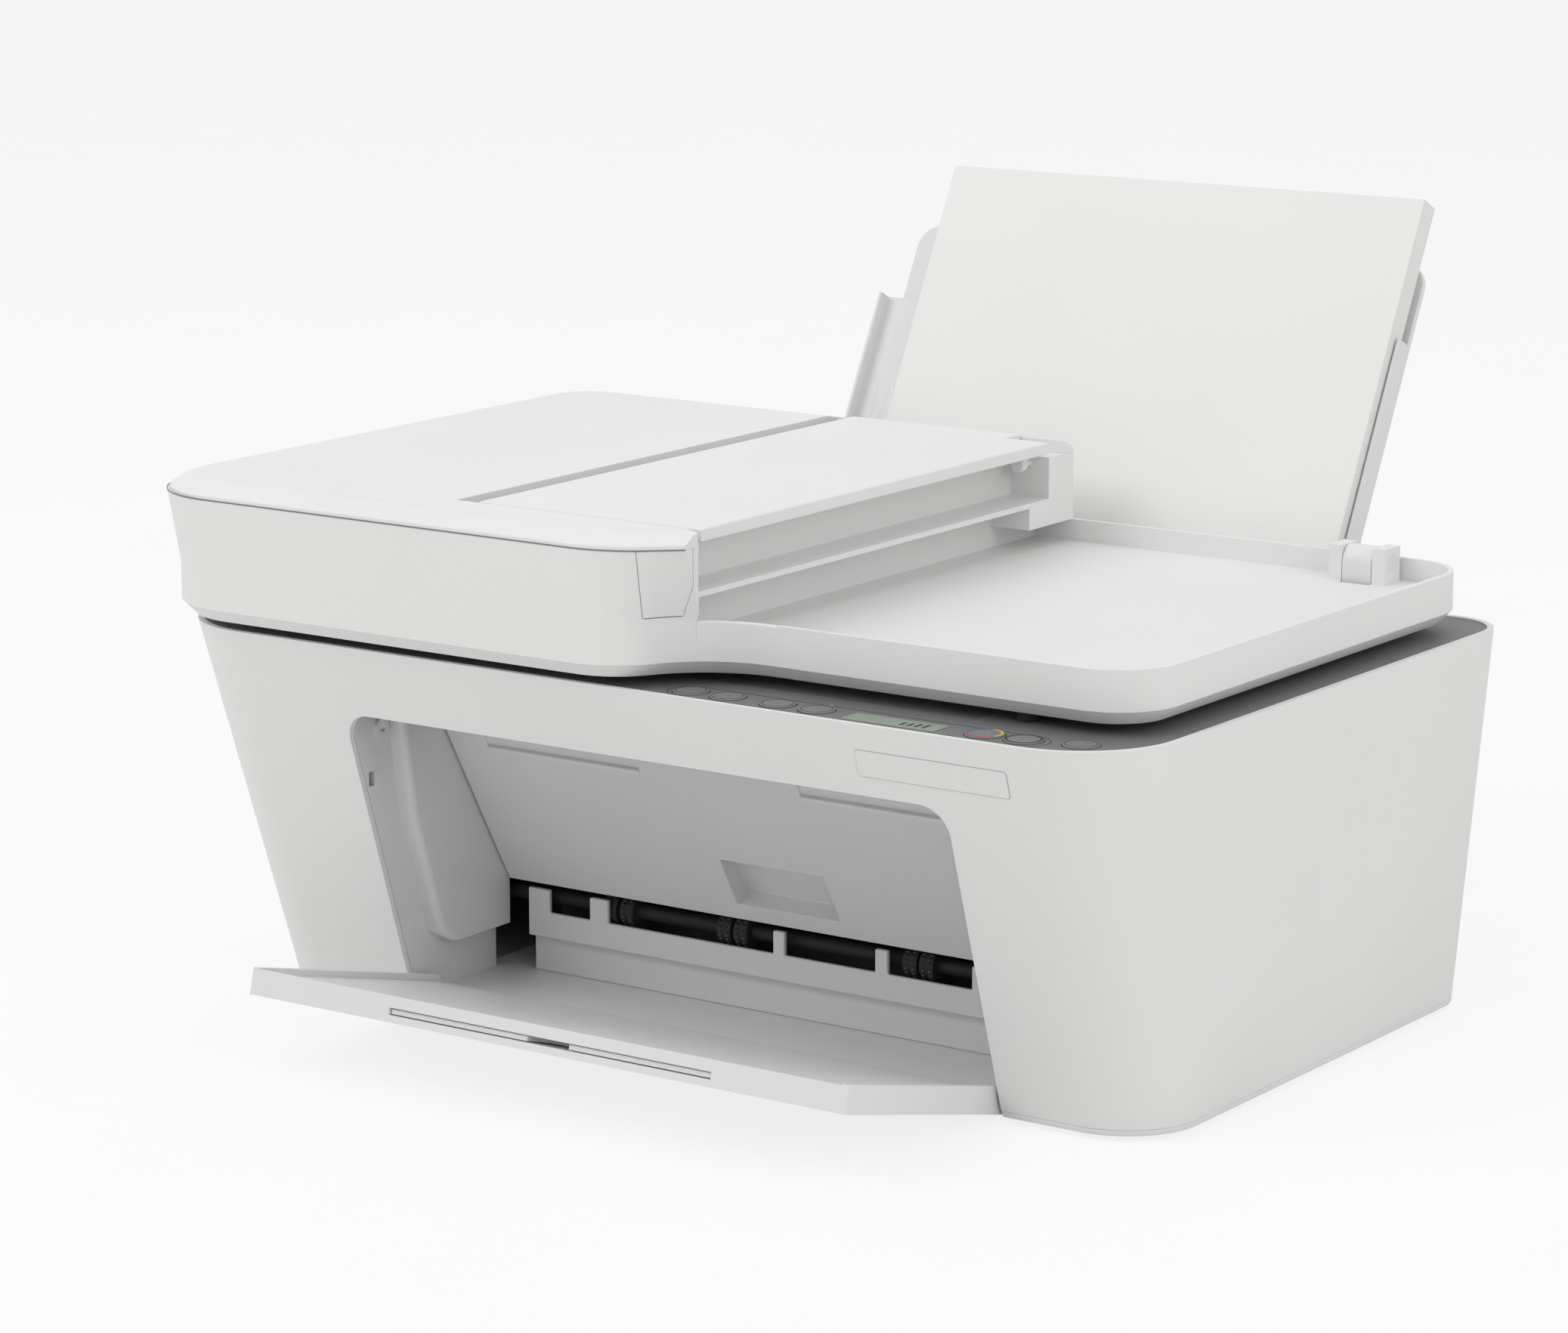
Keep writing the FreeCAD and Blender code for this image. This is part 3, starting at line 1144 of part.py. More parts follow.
def adf_cover():
    """Hinged feeder cover with soft edges, open round the document flap."""
    left = COVER_AXIS_X
    z1 = ADF_SEAM + COVER_EDGE
    parts = [Part.makeLoft([feeder_outline(ADF_SEAM, left, 0, feeder_corner),
                            feeder_outline(z1, left, 0, feeder_corner)], True, True)]
    last = (0.0, z1)
    for inset, drop in COVER_SOFT:
        parts.append(Part.makeLoft([feeder_outline(last[1], left, last[0], feeder_corner),
                                    feeder_outline(ADF_TOP - drop, left, inset, feeder_corner)], True, True))
        last = (inset, ADF_TOP - drop)
    cover = join(parts)
    cover = cover.cut(box((GROOVE_X, ADF_RIGHT + 1), (FLAP_Y[0] - FIT, FLAP_Y[1] + FIT),
                          (ADF_SEAM - 1, ADF_TOP + 1)))
    soft = COVER_SOFT[-1][0] + COVER_T
    cover = cover.cut(box((left + soft, GROOVE_X - COVER_T), (ADF_FRONT + soft, ADF_REAR - soft),
                          (ADF_SEAM - 1, ADF_TOP - COVER_T)))
    return join([cover, cyl_y(COVER_BARREL_Y[0], COVER_BARREL_Y[1], left, ADF_SEAM, COVER_BARREL_R)])


def feeder_flap():
    """Document flap that turns over to the right, with its pivot lugs."""
    z = (ADF_TOP - FLAP_T, ADF_TOP)
    flap = box(FLAP_X, (FLAP_Y[0] + FLAP_SEAM, FLAP_Y[1]), z)
    flap = flap.cut(box((BED_X - LID_SKIN, FLAP_X[1] + 1), (SHELF_Y[1] - FIT, FLAP_Y[1] + 1), (z[0] - 1, z[1] + 1)))
    parts = [flap]
    for wall, way in ((SHELF_Y[0] + FIT, 1), (SHELF_Y[1] - FIT, -1)):
        y0 = wall + way * FLAP_LUG_IN
        y = (min(y0, y0 + way * FLAP_LUG_W), max(y0, y0 + way * FLAP_LUG_W))
        parts.append(cyl_y(y[0], y[1], FLAP_PIVOT_X, FLAP_PIVOT_Z, FLAP_LUG_R))
        parts.append(box((FLAP_PIVOT_X - FLAP_LUG_R, FLAP_PIVOT_X + FLAP_LUG_R), y, (FLAP_PIVOT_Z, z[0] + 1)))
        pin = wall - way * (FLAP_PIN_L + FIT)
        parts.append(cyl_y(min(y0, pin), max(y0, pin), FLAP_PIVOT_X, FLAP_PIVOT_Z, FLAP_PIN_R))
    return join(parts)


def build_parts():
    """Every node of the printer by name."""
    makers = [
        base_shell, base_pan, feet, scanner_tray, top_deck, scan_glass, adf_glass, display,
        left_bay_liner, right_bay_liner, liner_screws, exit_ledge, platen, chassis, guide_rod, drive_belt,
        carriage_motor, feed_motor, main_board, power_supply, power_inlet, usb_port, paper_chute, tray_runners,
        lid_hinges, lid_shell, lid_pad, lid_bumpers, adf_frame, adf_end_panel, adf_roller, adf_cover,
        feeder_flap, input_tray, tray_extension, width_guide, paper_stack, output_tray, tray_extender,
        cartridge_door, carriage, exit_roller, feed_roller, pick_roller, belt_pulley, scan_bar,
    ]
    parts = {maker.__name__: maker() for maker in makers}
    parts["black_cartridge"] = cartridge(0)
    parts["colour_cartridge"] = cartridge(1)
    parts.update(gear_set())
    for name in BUTTONS:
        parts[name] = button(name)
    return parts


def export_parts():
    """Write one file for each node."""
    for name, shape in build_parts().items():
        print(name, "solids", len(shape.Solids), "valid", shape.isValid(), "volume", round(shape.Volume))
        shape.exportStep("parts/" + name + ".step")


if __name__ == "__main__":
    export_parts()
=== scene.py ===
import json
import logging
import math
from dataclasses import dataclass, field
from enum import Enum

import bmesh
import bpy
from mathutils import Matrix, Vector

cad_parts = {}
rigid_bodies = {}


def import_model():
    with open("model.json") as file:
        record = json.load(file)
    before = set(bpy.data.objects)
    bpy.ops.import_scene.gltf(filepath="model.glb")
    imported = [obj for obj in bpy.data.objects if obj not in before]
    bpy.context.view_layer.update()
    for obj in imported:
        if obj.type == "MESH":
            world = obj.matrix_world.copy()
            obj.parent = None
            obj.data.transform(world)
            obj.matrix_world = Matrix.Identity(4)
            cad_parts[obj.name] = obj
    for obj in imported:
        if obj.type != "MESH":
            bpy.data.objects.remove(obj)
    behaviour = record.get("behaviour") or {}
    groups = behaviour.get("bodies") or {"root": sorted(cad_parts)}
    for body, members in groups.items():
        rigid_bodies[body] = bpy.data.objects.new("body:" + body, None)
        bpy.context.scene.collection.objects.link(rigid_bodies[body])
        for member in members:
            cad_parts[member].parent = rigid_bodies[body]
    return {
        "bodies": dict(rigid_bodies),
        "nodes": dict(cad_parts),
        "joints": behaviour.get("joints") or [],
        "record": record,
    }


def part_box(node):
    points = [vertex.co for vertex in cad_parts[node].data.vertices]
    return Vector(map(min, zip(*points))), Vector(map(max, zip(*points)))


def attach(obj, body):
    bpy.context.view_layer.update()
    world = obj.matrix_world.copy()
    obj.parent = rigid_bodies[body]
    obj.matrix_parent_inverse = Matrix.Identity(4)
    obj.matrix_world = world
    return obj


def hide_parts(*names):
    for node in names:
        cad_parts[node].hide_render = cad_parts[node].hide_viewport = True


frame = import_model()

logging.basicConfig(level=logging.INFO, format="%(message)s")
LOG = logging.getLogger("printer")
MM = 0.001
RAMP_ENDS = (0.3, 0.7)
DARKER = 0.97
BROAD_SCALE = 9.0
ROUGH_SPREAD = 0.06
BUMP_HEIGHT = 0.0003
WELD = 0.00001
FLAT_ANGLE = 0.6
EDGE_ANGLE = 40.0


class Tone(Enum):
    """Named colours of the printer's mouldings and metals, linear red, green and blue."""

    SHELL_WHITE = (0.82, 0.82, 0.815)
    PANEL_WHITE = (0.79, 0.79, 0.785)
    BAY_GREY = (0.76, 0.765, 0.765)
    TRAY_GREY = (0.78, 0.785, 0.785)
    DECK_GREY = (0.165, 0.165, 0.168)
    BUTTON_GREY = (0.20, 0.20, 0.205)
    INNER_BLACK = (0.035, 0.035, 0.037)
    RUBBER_BLACK = (0.018, 0.018, 0.018)
    STEEL = (0.52, 0.53, 0.54)
    BRASS = (0.62, 0.43, 0.18)
    BOARD_GREEN = (0.03, 0.16, 0.07)
    PAPER_WHITE = (0.86, 0.86, 0.85)
    INK_BLUE = (0.05, 0.13, 0.36)
    GEAR_IVORY = (0.66, 0.64, 0.57)
    SYMBOL_DARK = (0.022, 0.022, 0.024)
    LAMP_WHITE = (0.90, 0.90, 0.90)
    SYMBOL_RED = (0.55, 0.02, 0.04)
    SYMBOL_TEAL = (0.05, 0.55, 0.52)
    SYMBOL_AMBER = (0.75, 0.50, 0.05)
    SCREEN_GREEN = (0.36, 0.42, 0.35)
    # Grey of the line round the bare plate: painted shade for the shadow at the plate's edge.
    SEAM_GREY = (0.42, 0.42, 0.42)


@dataclass(frozen=True)
class Finish:
    """One surface finish made of nodes.

    Args:
        name: Material name.
        tone: Main colour.
        rough: Middle of the roughness range.
        grain: Noise scale of the moulded texture, per metre.
        depth: Strength of the texture's bump.
        metal: Metallic value.
        clear: Share of what is behind that shows through.
        coat: Clear coat weight.
    """

    name: str
    tone: Tone
    rough: float = 0.5
    grain: float = 1400.0
    depth: float = 0.10
    metal: float = 0.0
    clear: float = 0.0
    coat: float = 0.0

    def material(self) -> bpy.types.Material:
        """Makes the material once and then returns the same one.

        Returns:
            The finish as a material with its own node tree.
        """
        found = bpy.data.materials.get(self.name)
        if found:
            return found
        mat = bpy.data.materials.new(self.name)
        mat.use_nodes = True
        nodes, links = mat.node_tree.nodes, mat.node_tree.links
        shader = nodes["Principled BSDF"]
        shader.inputs["Metallic"].default_value = self.metal
        shader.inputs["Alpha"].default_value = 1.0 - self.clear
        shader.inputs["Coat Weight"].default_value = self.coat
        place = nodes.new("ShaderNodeTexCoord")
        fine = self._noise(nodes, links, place, self.grain, 3.0)
        broad = self._noise(nodes, links, place, BROAD_SCALE, 2.0)
        colour = nodes.new("ShaderNodeValToRGB")
        for stop, place_on_ramp, share in zip(colour.color_ramp.elements, RAMP_ENDS, (DARKER, 1.0)):
            stop.position = place_on_ramp
            stop.color = (*(share * part for part in self.tone.value), 1)
        links.new(broad, colour.inputs["Fac"])
        links.new(colour.outputs["Color"], shader.inputs["Base Color"])
        spread = nodes.new("ShaderNodeMapRange")
        spread.inputs["To Min"].default_value = max(self.rough - ROUGH_SPREAD, 0.02)
        spread.inputs["To Max"].default_value = min(self.rough + ROUGH_SPREAD, 1.0)
        links.new(fine, spread.inputs["Value"])
        links.new(spread.outputs["Result"], shader.inputs["Roughness"])
        bump = nodes.new("ShaderNodeBump")
        bump.inputs["Strength"].default_value = self.depth
        bump.inputs["Distance"].default_value = BUMP_HEIGHT
        links.new(fine, bump.inputs["Height"])
        links.new(bump.outputs["Normal"], shader.inputs["Normal"])
        return mat

    @staticmethod
    def _noise(nodes: bpy.types.Nodes, links: bpy.types.NodeLinks, place: bpy.types.Node,
               scale: float, detail: float) -> bpy.types.NodeSocket:
        """Adds a noise texture on the object's own coordinates.

        Args:
            nodes: Nodes of the material.
            links: Links of the material.
            place: Texture coordinate node.
            scale: Noise scale, per metre.
            detail: Noise detail.

        Returns:
            The noise's value socket.
        """
        noise = nodes.new("ShaderNodeTexNoise")
        noise.inputs["Scale"].default_value = scale
        noise.inputs["Detail"].default_value = detail
        links.new(place.outputs["Object"], noise.inputs["Vector"])
        return noise.outputs["Fac"]


SHELL = Finish("shell_white", Tone.SHELL_WHITE, rough=0.52, depth=0.16)
PANEL = Finish("panel_white", Tone.PANEL_WHITE, rough=0.48, depth=0.12)
BAY = Finish("bay_grey", Tone.BAY_GREY, rough=0.46, depth=0.12)
TRAY = Finish("tray_grey", Tone.TRAY_GREY, rough=0.45, depth=0.12)
DECK = Finish("deck_grey", Tone.DECK_GREY, rough=0.55, depth=0.20)
BUTTON = Finish("button_grey", Tone.BUTTON_GREY, rough=0.42, depth=0.10)
INNER = Finish("inner_black", Tone.INNER_BLACK, rough=0.55)
RUBBER = Finish("roller_rubber", Tone.RUBBER_BLACK, rough=0.75, grain=2200.0, depth=0.3)
STEEL = Finish("frame_steel", Tone.STEEL, rough=0.32, metal=1.0, depth=0.05)
BRASS = Finish("turned_brass", Tone.BRASS, rough=0.3, metal=1.0, depth=0.05)
BOARD = Finish("board_mask", Tone.BOARD_GREEN, rough=0.35, grain=700.0)
PAPER = Finish("blank_paper", Tone.PAPER_WHITE, rough=0.8, grain=2600.0, depth=0.08)
INK = Finish("ink_blue", Tone.INK_BLUE, rough=0.45)
GEAR = Finish("gear_ivory", Tone.GEAR_IVORY, rough=0.4)
GLASS = Finish("scanner_glass", Tone.PAPER_WHITE, rough=0.08, grain=30.0, clear=0.78, coat=0.3, depth=0.0)
SCREEN = Finish("screen_green", Tone.SCREEN_GREEN, rough=0.22, coat=0.4, depth=0.0)
SYMBOL = Finish("symbol_dark", Tone.SYMBOL_DARK, rough=0.6)
SYMBOL_WHITE = Finish("symbol_white", Tone.LAMP_WHITE, rough=0.5)
# Painted shade: the grey of the shadow line round the bare plate.
PLATE_SHADE = Finish("seam_grey", Tone.SEAM_GREY, rough=0.6)
SCREW = Finish("screw_zinc", Tone.SHELL_WHITE, rough=0.38, metal=0.6, depth=0.05)
SYMBOL_RED = Finish("symbol_red", Tone.SYMBOL_RED, rough=0.6)
SYMBOL_TEAL = Finish("symbol_teal", Tone.SYMBOL_TEAL, rough=0.4)
SYMBOL_BLUE = Finish("symbol_blue", Tone.INK_BLUE, rough=0.6)
SYMBOL_AMBER = Finish("symbol_amber", Tone.SYMBOL_AMBER, rough=0.6)


def link_piece(name: str, mesh: bpy.types.Mesh, finish: Finish, body: str) -> bpy.types.Object:
    """Puts a finished mesh in the scene, riding on a body.

    Args:
        name: Piece name.
        mesh: Mesh with its place in its vertices.
        finish: Surface finish.
        body: Body that the piece moves with.

    Returns:
        The new object.
    """
    mesh.materials.clear()
    mesh.materials.append(finish.material())
    piece = bpy.data.objects.new(name, mesh)
    bpy.context.scene.collection.objects.link(piece)
    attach(piece, body)
    LOG.info("piece %s on %s", name, body)
    return piece


def baked(obj: bpy.types.Object, name: str) -> bpy.types.Mesh:
    """Turns an object with modifiers into a plain mesh and removes the object.

    Args:
        obj: Object whose modifiers are evaluated.
        name: Name of the new mesh.

    Returns:
        The evaluated mesh.
    """
    graph = bpy.context.evaluated_depsgraph_get()
    mesh = bpy.data.meshes.new_from_object(obj.evaluated_get(graph))
    mesh.name = name
    bpy.data.objects.remove(obj)
    return mesh


def work_object(name: str, mesh: bpy.types.Mesh) -> bpy.types.Object:
    """Links a mesh to the scene for as long as its modifiers are needed.

    Args:
        name: Object name.
        mesh: Its mesh.

    Returns:
        The new object.
    """
    holder = bpy.data.objects.new(name, mesh)
    bpy.context.scene.collection.objects.link(holder)
    return holder


def mesh_of(work: bmesh.types.BMesh, name: str) -> bpy.types.Mesh:
    """Writes an edit mesh into a new mesh and frees it.

    Args:
        work: Edit mesh.
        name: Name of the new mesh.

    Returns:
        The new mesh.
    """
    mesh = bpy.data.meshes.new(name)
    work.to_mesh(mesh)
    work.free()
    return mesh


def rounded(mesh: bpy.types.Mesh, name: str, radius: float, steps: int) -> bpy.types.Mesh:
    """Rounds the sharp edges of a mesh.

    Args:
        mesh: Mesh to round.
        name: Name of the new mesh.
        radius: Edge radius in metres.
        steps: Segments across an edge.

    Returns:
        The rounded mesh.
    """
    holder = work_object(name + "_work", mesh)
    bevel = holder.modifiers.new("edge", "BEVEL")
    bevel.width = radius
    bevel.segments = steps
    bevel.limit_method = "ANGLE"
    bevel.angle_limit = math.radians(EDGE_ANGLE)
    bevel.use_clamp_overlap = True
    return baked(holder, name)


def shaded(mesh: bpy.types.Mesh, angle: float) -> bpy.types.Mesh:
    """Shades a mesh smooth across small angles and keeps its large faces flat.

    Args:
        mesh: Mesh to shade.
        angle: Angle in degrees from which an edge stays sharp.

    Returns:
        A copy with weighted normals.
    """
    for face in mesh.polygons:
        face.use_smooth = True
    mesh.set_sharp_from_angle(angle=math.radians(angle))
    holder = work_object(mesh.name + "_work", mesh)
    even = holder.modifiers.new("even", "WEIGHTED_NORMAL")
    even.keep_sharp = True
    return baked(holder, mesh.name)


@dataclass
class Moulding:
    """A solid shown with the small edge radii that a moulded or pressed piece has.

    Args:
        node: Solid that the piece stands for.
        body: Body that it rides on.
        finish: Surface finish.
        slot: Material slot of the record; not used.
        radius: Edge radius in metres.
        steps: Segments across an edge.
        smooth: Angle in degrees below which faces shade as one surface.
    """

    node: str
    body: str
    finish: Finish
    slot: str
    radius: float = 0.6 * MM
    steps: int = 2
    smooth: float = 38.0

    def build(self, frame: dict) -> bpy.types.Object:
        """Makes the piece from a merged copy of its solid.


        Returns:
            The finished piece.
        """
        mesh = frame["nodes"][self.node].data.copy()
        work = bmesh.new()
        work.from_mesh(mesh)
        bmesh.ops.remove_doubles(work, verts=work.verts, dist=WELD)
        bmesh.ops.dissolve_limit(work, angle_limit=math.radians(FLAT_ANGLE), verts=work.verts,
                                 edges=work.edges)
        work.to_mesh(mesh)
        work.free()
        name = self.node + "_moulded"
        solid = shaded(rounded(mesh, name, self.radius, self.steps), self.smooth)
        piece = link_piece(name, solid, self.finish, self.body)
        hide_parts(self.node)
        return piece


@dataclass
class RepeatTree:
    """Geometry nodes that set copies of a small mesh along a line.

    Args:
        name: Name of the node tree.
    """

    name: str

    def make(self) -> bpy.types.GeometryNodeTree:
        """Builds the tree with its named inputs.

        Returns:
            The node tree: Source, Count, Start, Step and Finish in, realised copies out.
        """
        tree = bpy.data.node_groups.new(self.name, "GeometryNodeTree")
        tree.interface.new_socket("Geometry", in_out="OUTPUT", socket_type="NodeSocketGeometry")
        for name, kind in (("Source", "Object"), ("Count", "Int"), ("Start", "Vector"), ("Step", "Vector"),
                           ("Finish", "Material")):
            tree.interface.new_socket(name, in_out="INPUT", socket_type="NodeSocket" + kind)
        nodes, links = tree.nodes, tree.links
        start = nodes.new("NodeGroupInput")
        end = nodes.new("NodeGroupOutput")
        line = nodes.new("GeometryNodeMeshLine")
        line.mode = "OFFSET"
        source = nodes.new("GeometryNodeObjectInfo")
        spread = nodes.new("GeometryNodeInstanceOnPoints")
        real = nodes.new("GeometryNodeRealizeInstances")
        dress = nodes.new("GeometryNodeSetMaterial")
        links.new(start.outputs["Count"], line.inputs["Count"])
        links.new(start.outputs["Start"], line.inputs["Start Location"])
        links.new(start.outputs["Step"], line.inputs["Offset"])
        links.new(start.outputs["Source"], source.inputs["Object"])
        links.new(line.outputs["Mesh"], spread.inputs["Points"])
        links.new(source.outputs["Geometry"], spread.inputs["Instance"])
        links.new(spread.outputs["Instances"], real.inputs["Geometry"])
        links.new(real.outputs["Geometry"], dress.inputs["Geometry"])
        links.new(start.outputs["Finish"], dress.inputs["Material"])
        links.new(dress.outputs["Geometry"], end.inputs["Geometry"])
        return tree

    def spread(self, source: bpy.types.Mesh, count: int, start: Vector, step: Vector,
               finish: Finish) -> bpy.types.Mesh:
        """Lays copies of a mesh along a line.

        Args:
            source: Mesh that repeats.
            count: How many copies.
            start: Place of the first copy.
            step: Move from one copy to the next.
            finish: Surface finish.

        Returns:
            One plain mesh with every copy.
        """
        tree = bpy.data.node_groups.get(self.name) or self.make()
        seed = work_object(self.name + "_seed", source)
        holder = work_object(self.name + "_work", bpy.data.meshes.new(self.name))
        modifier = holder.modifiers.new("repeat", "NODES")
        modifier.node_group = tree
        keys = {s.name: s.identifier for s in tree.interface.items_tree if s.in_out == "INPUT"}
        modifier[keys["Source"]] = seed
        modifier[keys["Count"]] = count
        modifier[keys["Start"]] = tuple(start)
        modifier[keys["Step"]] = tuple(step)
        modifier[keys["Finish"]] = finish.material()
        mesh = baked(holder, self.name)
        bpy.data.objects.remove(seed)
        return mesh


def block_mesh(name: str, low: Vector, high: Vector, edge: float) -> bpy.types.Mesh:
    """Makes a block with rounded edges.

    Args:
        name: Mesh name.
        low: Lowest corner.
        high: Highest corner.
        edge: Edge radius.

    Returns:
        The new mesh.
    """
    work = bmesh.new()
    bmesh.ops.create_cube(work, size=1.0)
    size = high - low
    middle = (high + low) / 2
    place = Matrix.Translation(middle) @ Matrix.Diagonal((*size, 1))
    bmesh.ops.transform(work, matrix=place, verts=work.verts)
    bmesh.ops.bevel(work, geom=list(work.edges), offset=edge, segments=2, profile=0.5, affect="EDGES")
    return mesh_of(work, name)


def ribbon_mesh(name: str, lines: list[list[tuple[float, float]]], width: float, low: float,
                high: float) -> bpy.types.Mesh:
    """Makes raised strokes from flat lines, as printed or inlaid symbols are.

    Args:
        name: Mesh name.
        lines: Each stroke as (x, y) points, in metres.
        width: Stroke width.
        low: Height of the strokes' underside.
        high: Height of their upper face.

    Returns:
        The new mesh.
    """
    work = bmesh.new()
    for points in lines:
        for (x0, y0), (x1, y1) in zip(points, points[1:]):
            run = Vector((x1 - x0, y1 - y0, 0))
            side = Vector((-run.y, run.x, 0)).normalized() * width / 2
            ends = [Vector((x0, y0, 0)) - side, Vector((x1, y1, 0)) - side,
                    Vector((x1, y1, 0)) + side, Vector((x0, y0, 0)) + side]
            foot = [work.verts.new(p + Vector((0, 0, low))) for p in ends]
            head = [work.verts.new(p + Vector((0, 0, high))) for p in ends]
            work.faces.new(head)
            work.faces.new(foot[::-1])
            for i in range(4):
                j = (i + 1) % 4
                work.faces.new((foot[i], foot[j], head[j], head[i]))
    return mesh_of(work, name)


def arc_points(x: float, y: float, r: float, start: float, turn: float,
               count: int) -> list[tuple[float, float]]:
    """Points along a flat arc.

    Args:
        x: Centre along X.
        y: Centre along Y.
        r: Radius.
        start: First angle in degrees.
        turn: Sweep in degrees.
        count: Number of runs.

    Returns:
        The points, in order.
    """
    angles = [math.radians(start + turn * i / count) for i in range(count + 1)]
    return [(x + r * math.cos(a), y + r * math.sin(a)) for a in angles]


def solid_plate(name: str, outline: list[Vector], lift: Vector) -> bpy.types.Mesh:
    """Makes a thin plate from a flat outline.

    Args:
        name: Mesh name.
        outline: Corners of the underside, counter-clockwise seen from the lifted side.
        lift: Move from the underside to the upper face.

    Returns:
        The new mesh.
    """
    work = bmesh.new()
    foot = [work.verts.new(p) for p in outline]
    head = [work.verts.new(p + lift) for p in outline]
    work.faces.new(head)
    work.faces.new(foot[::-1])
    for i in range(len(outline)):
        j = (i + 1) % len(outline)
        work.faces.new((foot[i], foot[j], head[j], head[i]))
    bmesh.ops.recalc_face_normals(work, faces=work.faces)
    return mesh_of(work, name)


def pill_points(x0: float, x1: float, y0: float, y1: float, r: float) -> list[tuple[float, float]]:
    """Points round a rectangle with round corners.

    Args:
        x0: Left side.
        x1: Right side.
        y0: Front side.
        y1: Rear side.
        r: Corner radius.

    Returns:
        The points, closed on the first.
    """
    corners = ((x1 - r, y0 + r), (x1 - r, y1 - r), (x0 + r, y1 - r), (x0 + r, y0 + r))
    points = []
    for i, (x, y) in enumerate(corners):
        points += arc_points(x, y, r, 90 * i - 90, 90, 8)
    return points + points[:1]


def dress(frame: dict, finish: Finish, *nodes: str) -> None:
    """Gives solids that keep their own shape their finish.

    Args:
        finish: Surface finish.
        nodes: Names of the solids.
    """
    for node in nodes:
        mesh = frame["nodes"][node].data
        mesh.materials.clear()
        mesh.materials.append(finish.material())
        LOG.info("solid %s in %s", node, finish.name)


@dataclass
class Housing:
    """Outer shell, deck, glass, sockets and feet.

    Args:
        plate_x: Left and right side of the bare plate on the front.
        plate_z: Lower and upper edge of that plate.
        plate_corner: Corner radius of that plate.
        plate_sink: How deep its underside lies in the shell.
        plate_lift: How far its face stands out.
        edge_width: Width of the grey line round it, painted shade that stands in for the shadow at the
            plate's edge.
        edge_lift: How far that line stands out.
        front_foot: Y of the front at the foot of the shell.
        front_base: Height of that foot.
        front_slope: Y per unit of height along the front.
        pane_gap: Clearance of a glass pane from its seat.
        pane_edge: Edge radius of a pane.
    """

    plate_x: tuple[float, float] = (104.2 * MM, 165.0 * MM)
    plate_z: tuple[float, float] = (127.6 * MM, 137.2 * MM)
    plate_corner: float = 1.2 * MM
    plate_sink: float = 0.2 * MM
    plate_lift: float = 0.25 * MM
    edge_width: float = 0.25 * MM
    edge_lift: float = 0.08 * MM
    front_foot: float = -116.5 * MM
    front_base: float = 2.0 * MM
    front_slope: float = -46.6 / 145.0
    pane_gap: float = 0.05 * MM
    pane_edge: float = 0.2 * MM

    def front_point(self, x: float, z: float) -> Vector:
        """Finds a point of the sloping front.

        Args:
            x: Place across the front.
            z: Height.

        Returns:
            The point on the front's face.
        """
        return Vector((x, self.front_foot + (z - self.front_base) * self.front_slope, z))

    def build(self, frame: dict) -> None:
        """Builds the housing's pieces.
        """
        Moulding("base_shell", "base", SHELL, "white_plastic", 0.8 * MM, 3).build(frame)
        Moulding("top_deck", "base", DECK, "dark_plastic", 0.3 * MM).build(frame)
        Moulding("base_pan", "base", TRAY, "grey_plastic").build(frame)
        Moulding("paper_chute", "base", PANEL, "grey_plastic").build(frame)
        dress(frame, PANEL, "tray_runners", "lid_hinges")
        dress(frame, RUBBER, "feet")
        dress(frame, INNER, "scanner_tray", "power_inlet", "usb_port")
        for node in ("scan_glass", "adf_glass"):
            self.pane(node)
        self.bare_plate()

    def pane(self, node: str) -> None:
        """Sets a glass pane just clear of the ledge under it.

        Args:
            node: Solid that the pane stands for.
        """
        low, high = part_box(node)
        gap = self.pane_gap
        mesh = block_mesh(node + "_pane", low + Vector((gap, gap, gap)), high - Vector((gap, gap, 0)),
                          self.pane_edge)
        piece = link_piece(node + "_pane", mesh, GLASS, "base")
        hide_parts(node)

    def bare_plate(self) -> None:
        """Lays a thin bare plate with round corners on the front, inside a grey line of painted shade that
        stands in for the shadow at the plate's edge.
        """
        normal = Vector((0, -1, self.front_slope)).normalized()
        (x0, x1), (z0, z1) = self.plate_x, self.plate_z
        # The grey line round the plate is painted shade, standing in for the shadow along the plate's edge.
        for name, grow, lift, finish in (("plate_edge", self.edge_width, self.edge_lift, PLATE_SHADE),
                                         ("bare_plate", 0.0, self.plate_lift, SHELL)):
            outline = pill_points(x0 - grow, x1 + grow, z0 - grow, z1 + grow, self.plate_corner + grow)[:-1]
            points = [self.front_point(x, z) - normal * self.plate_sink for x, z in outline]
            mesh = solid_plate(name, points, normal * (self.plate_sink + lift))
            link_piece(name, mesh, finish, "base")


class Mark(Enum):
    """Symbols of the control buttons."""

    CROSS = "cross"
    SHEET = "sheet"
    INFO = "info"
    WAVES = "waves"
    COLOUR = "colour"
    BLACK = "black"
    POWER = "power"


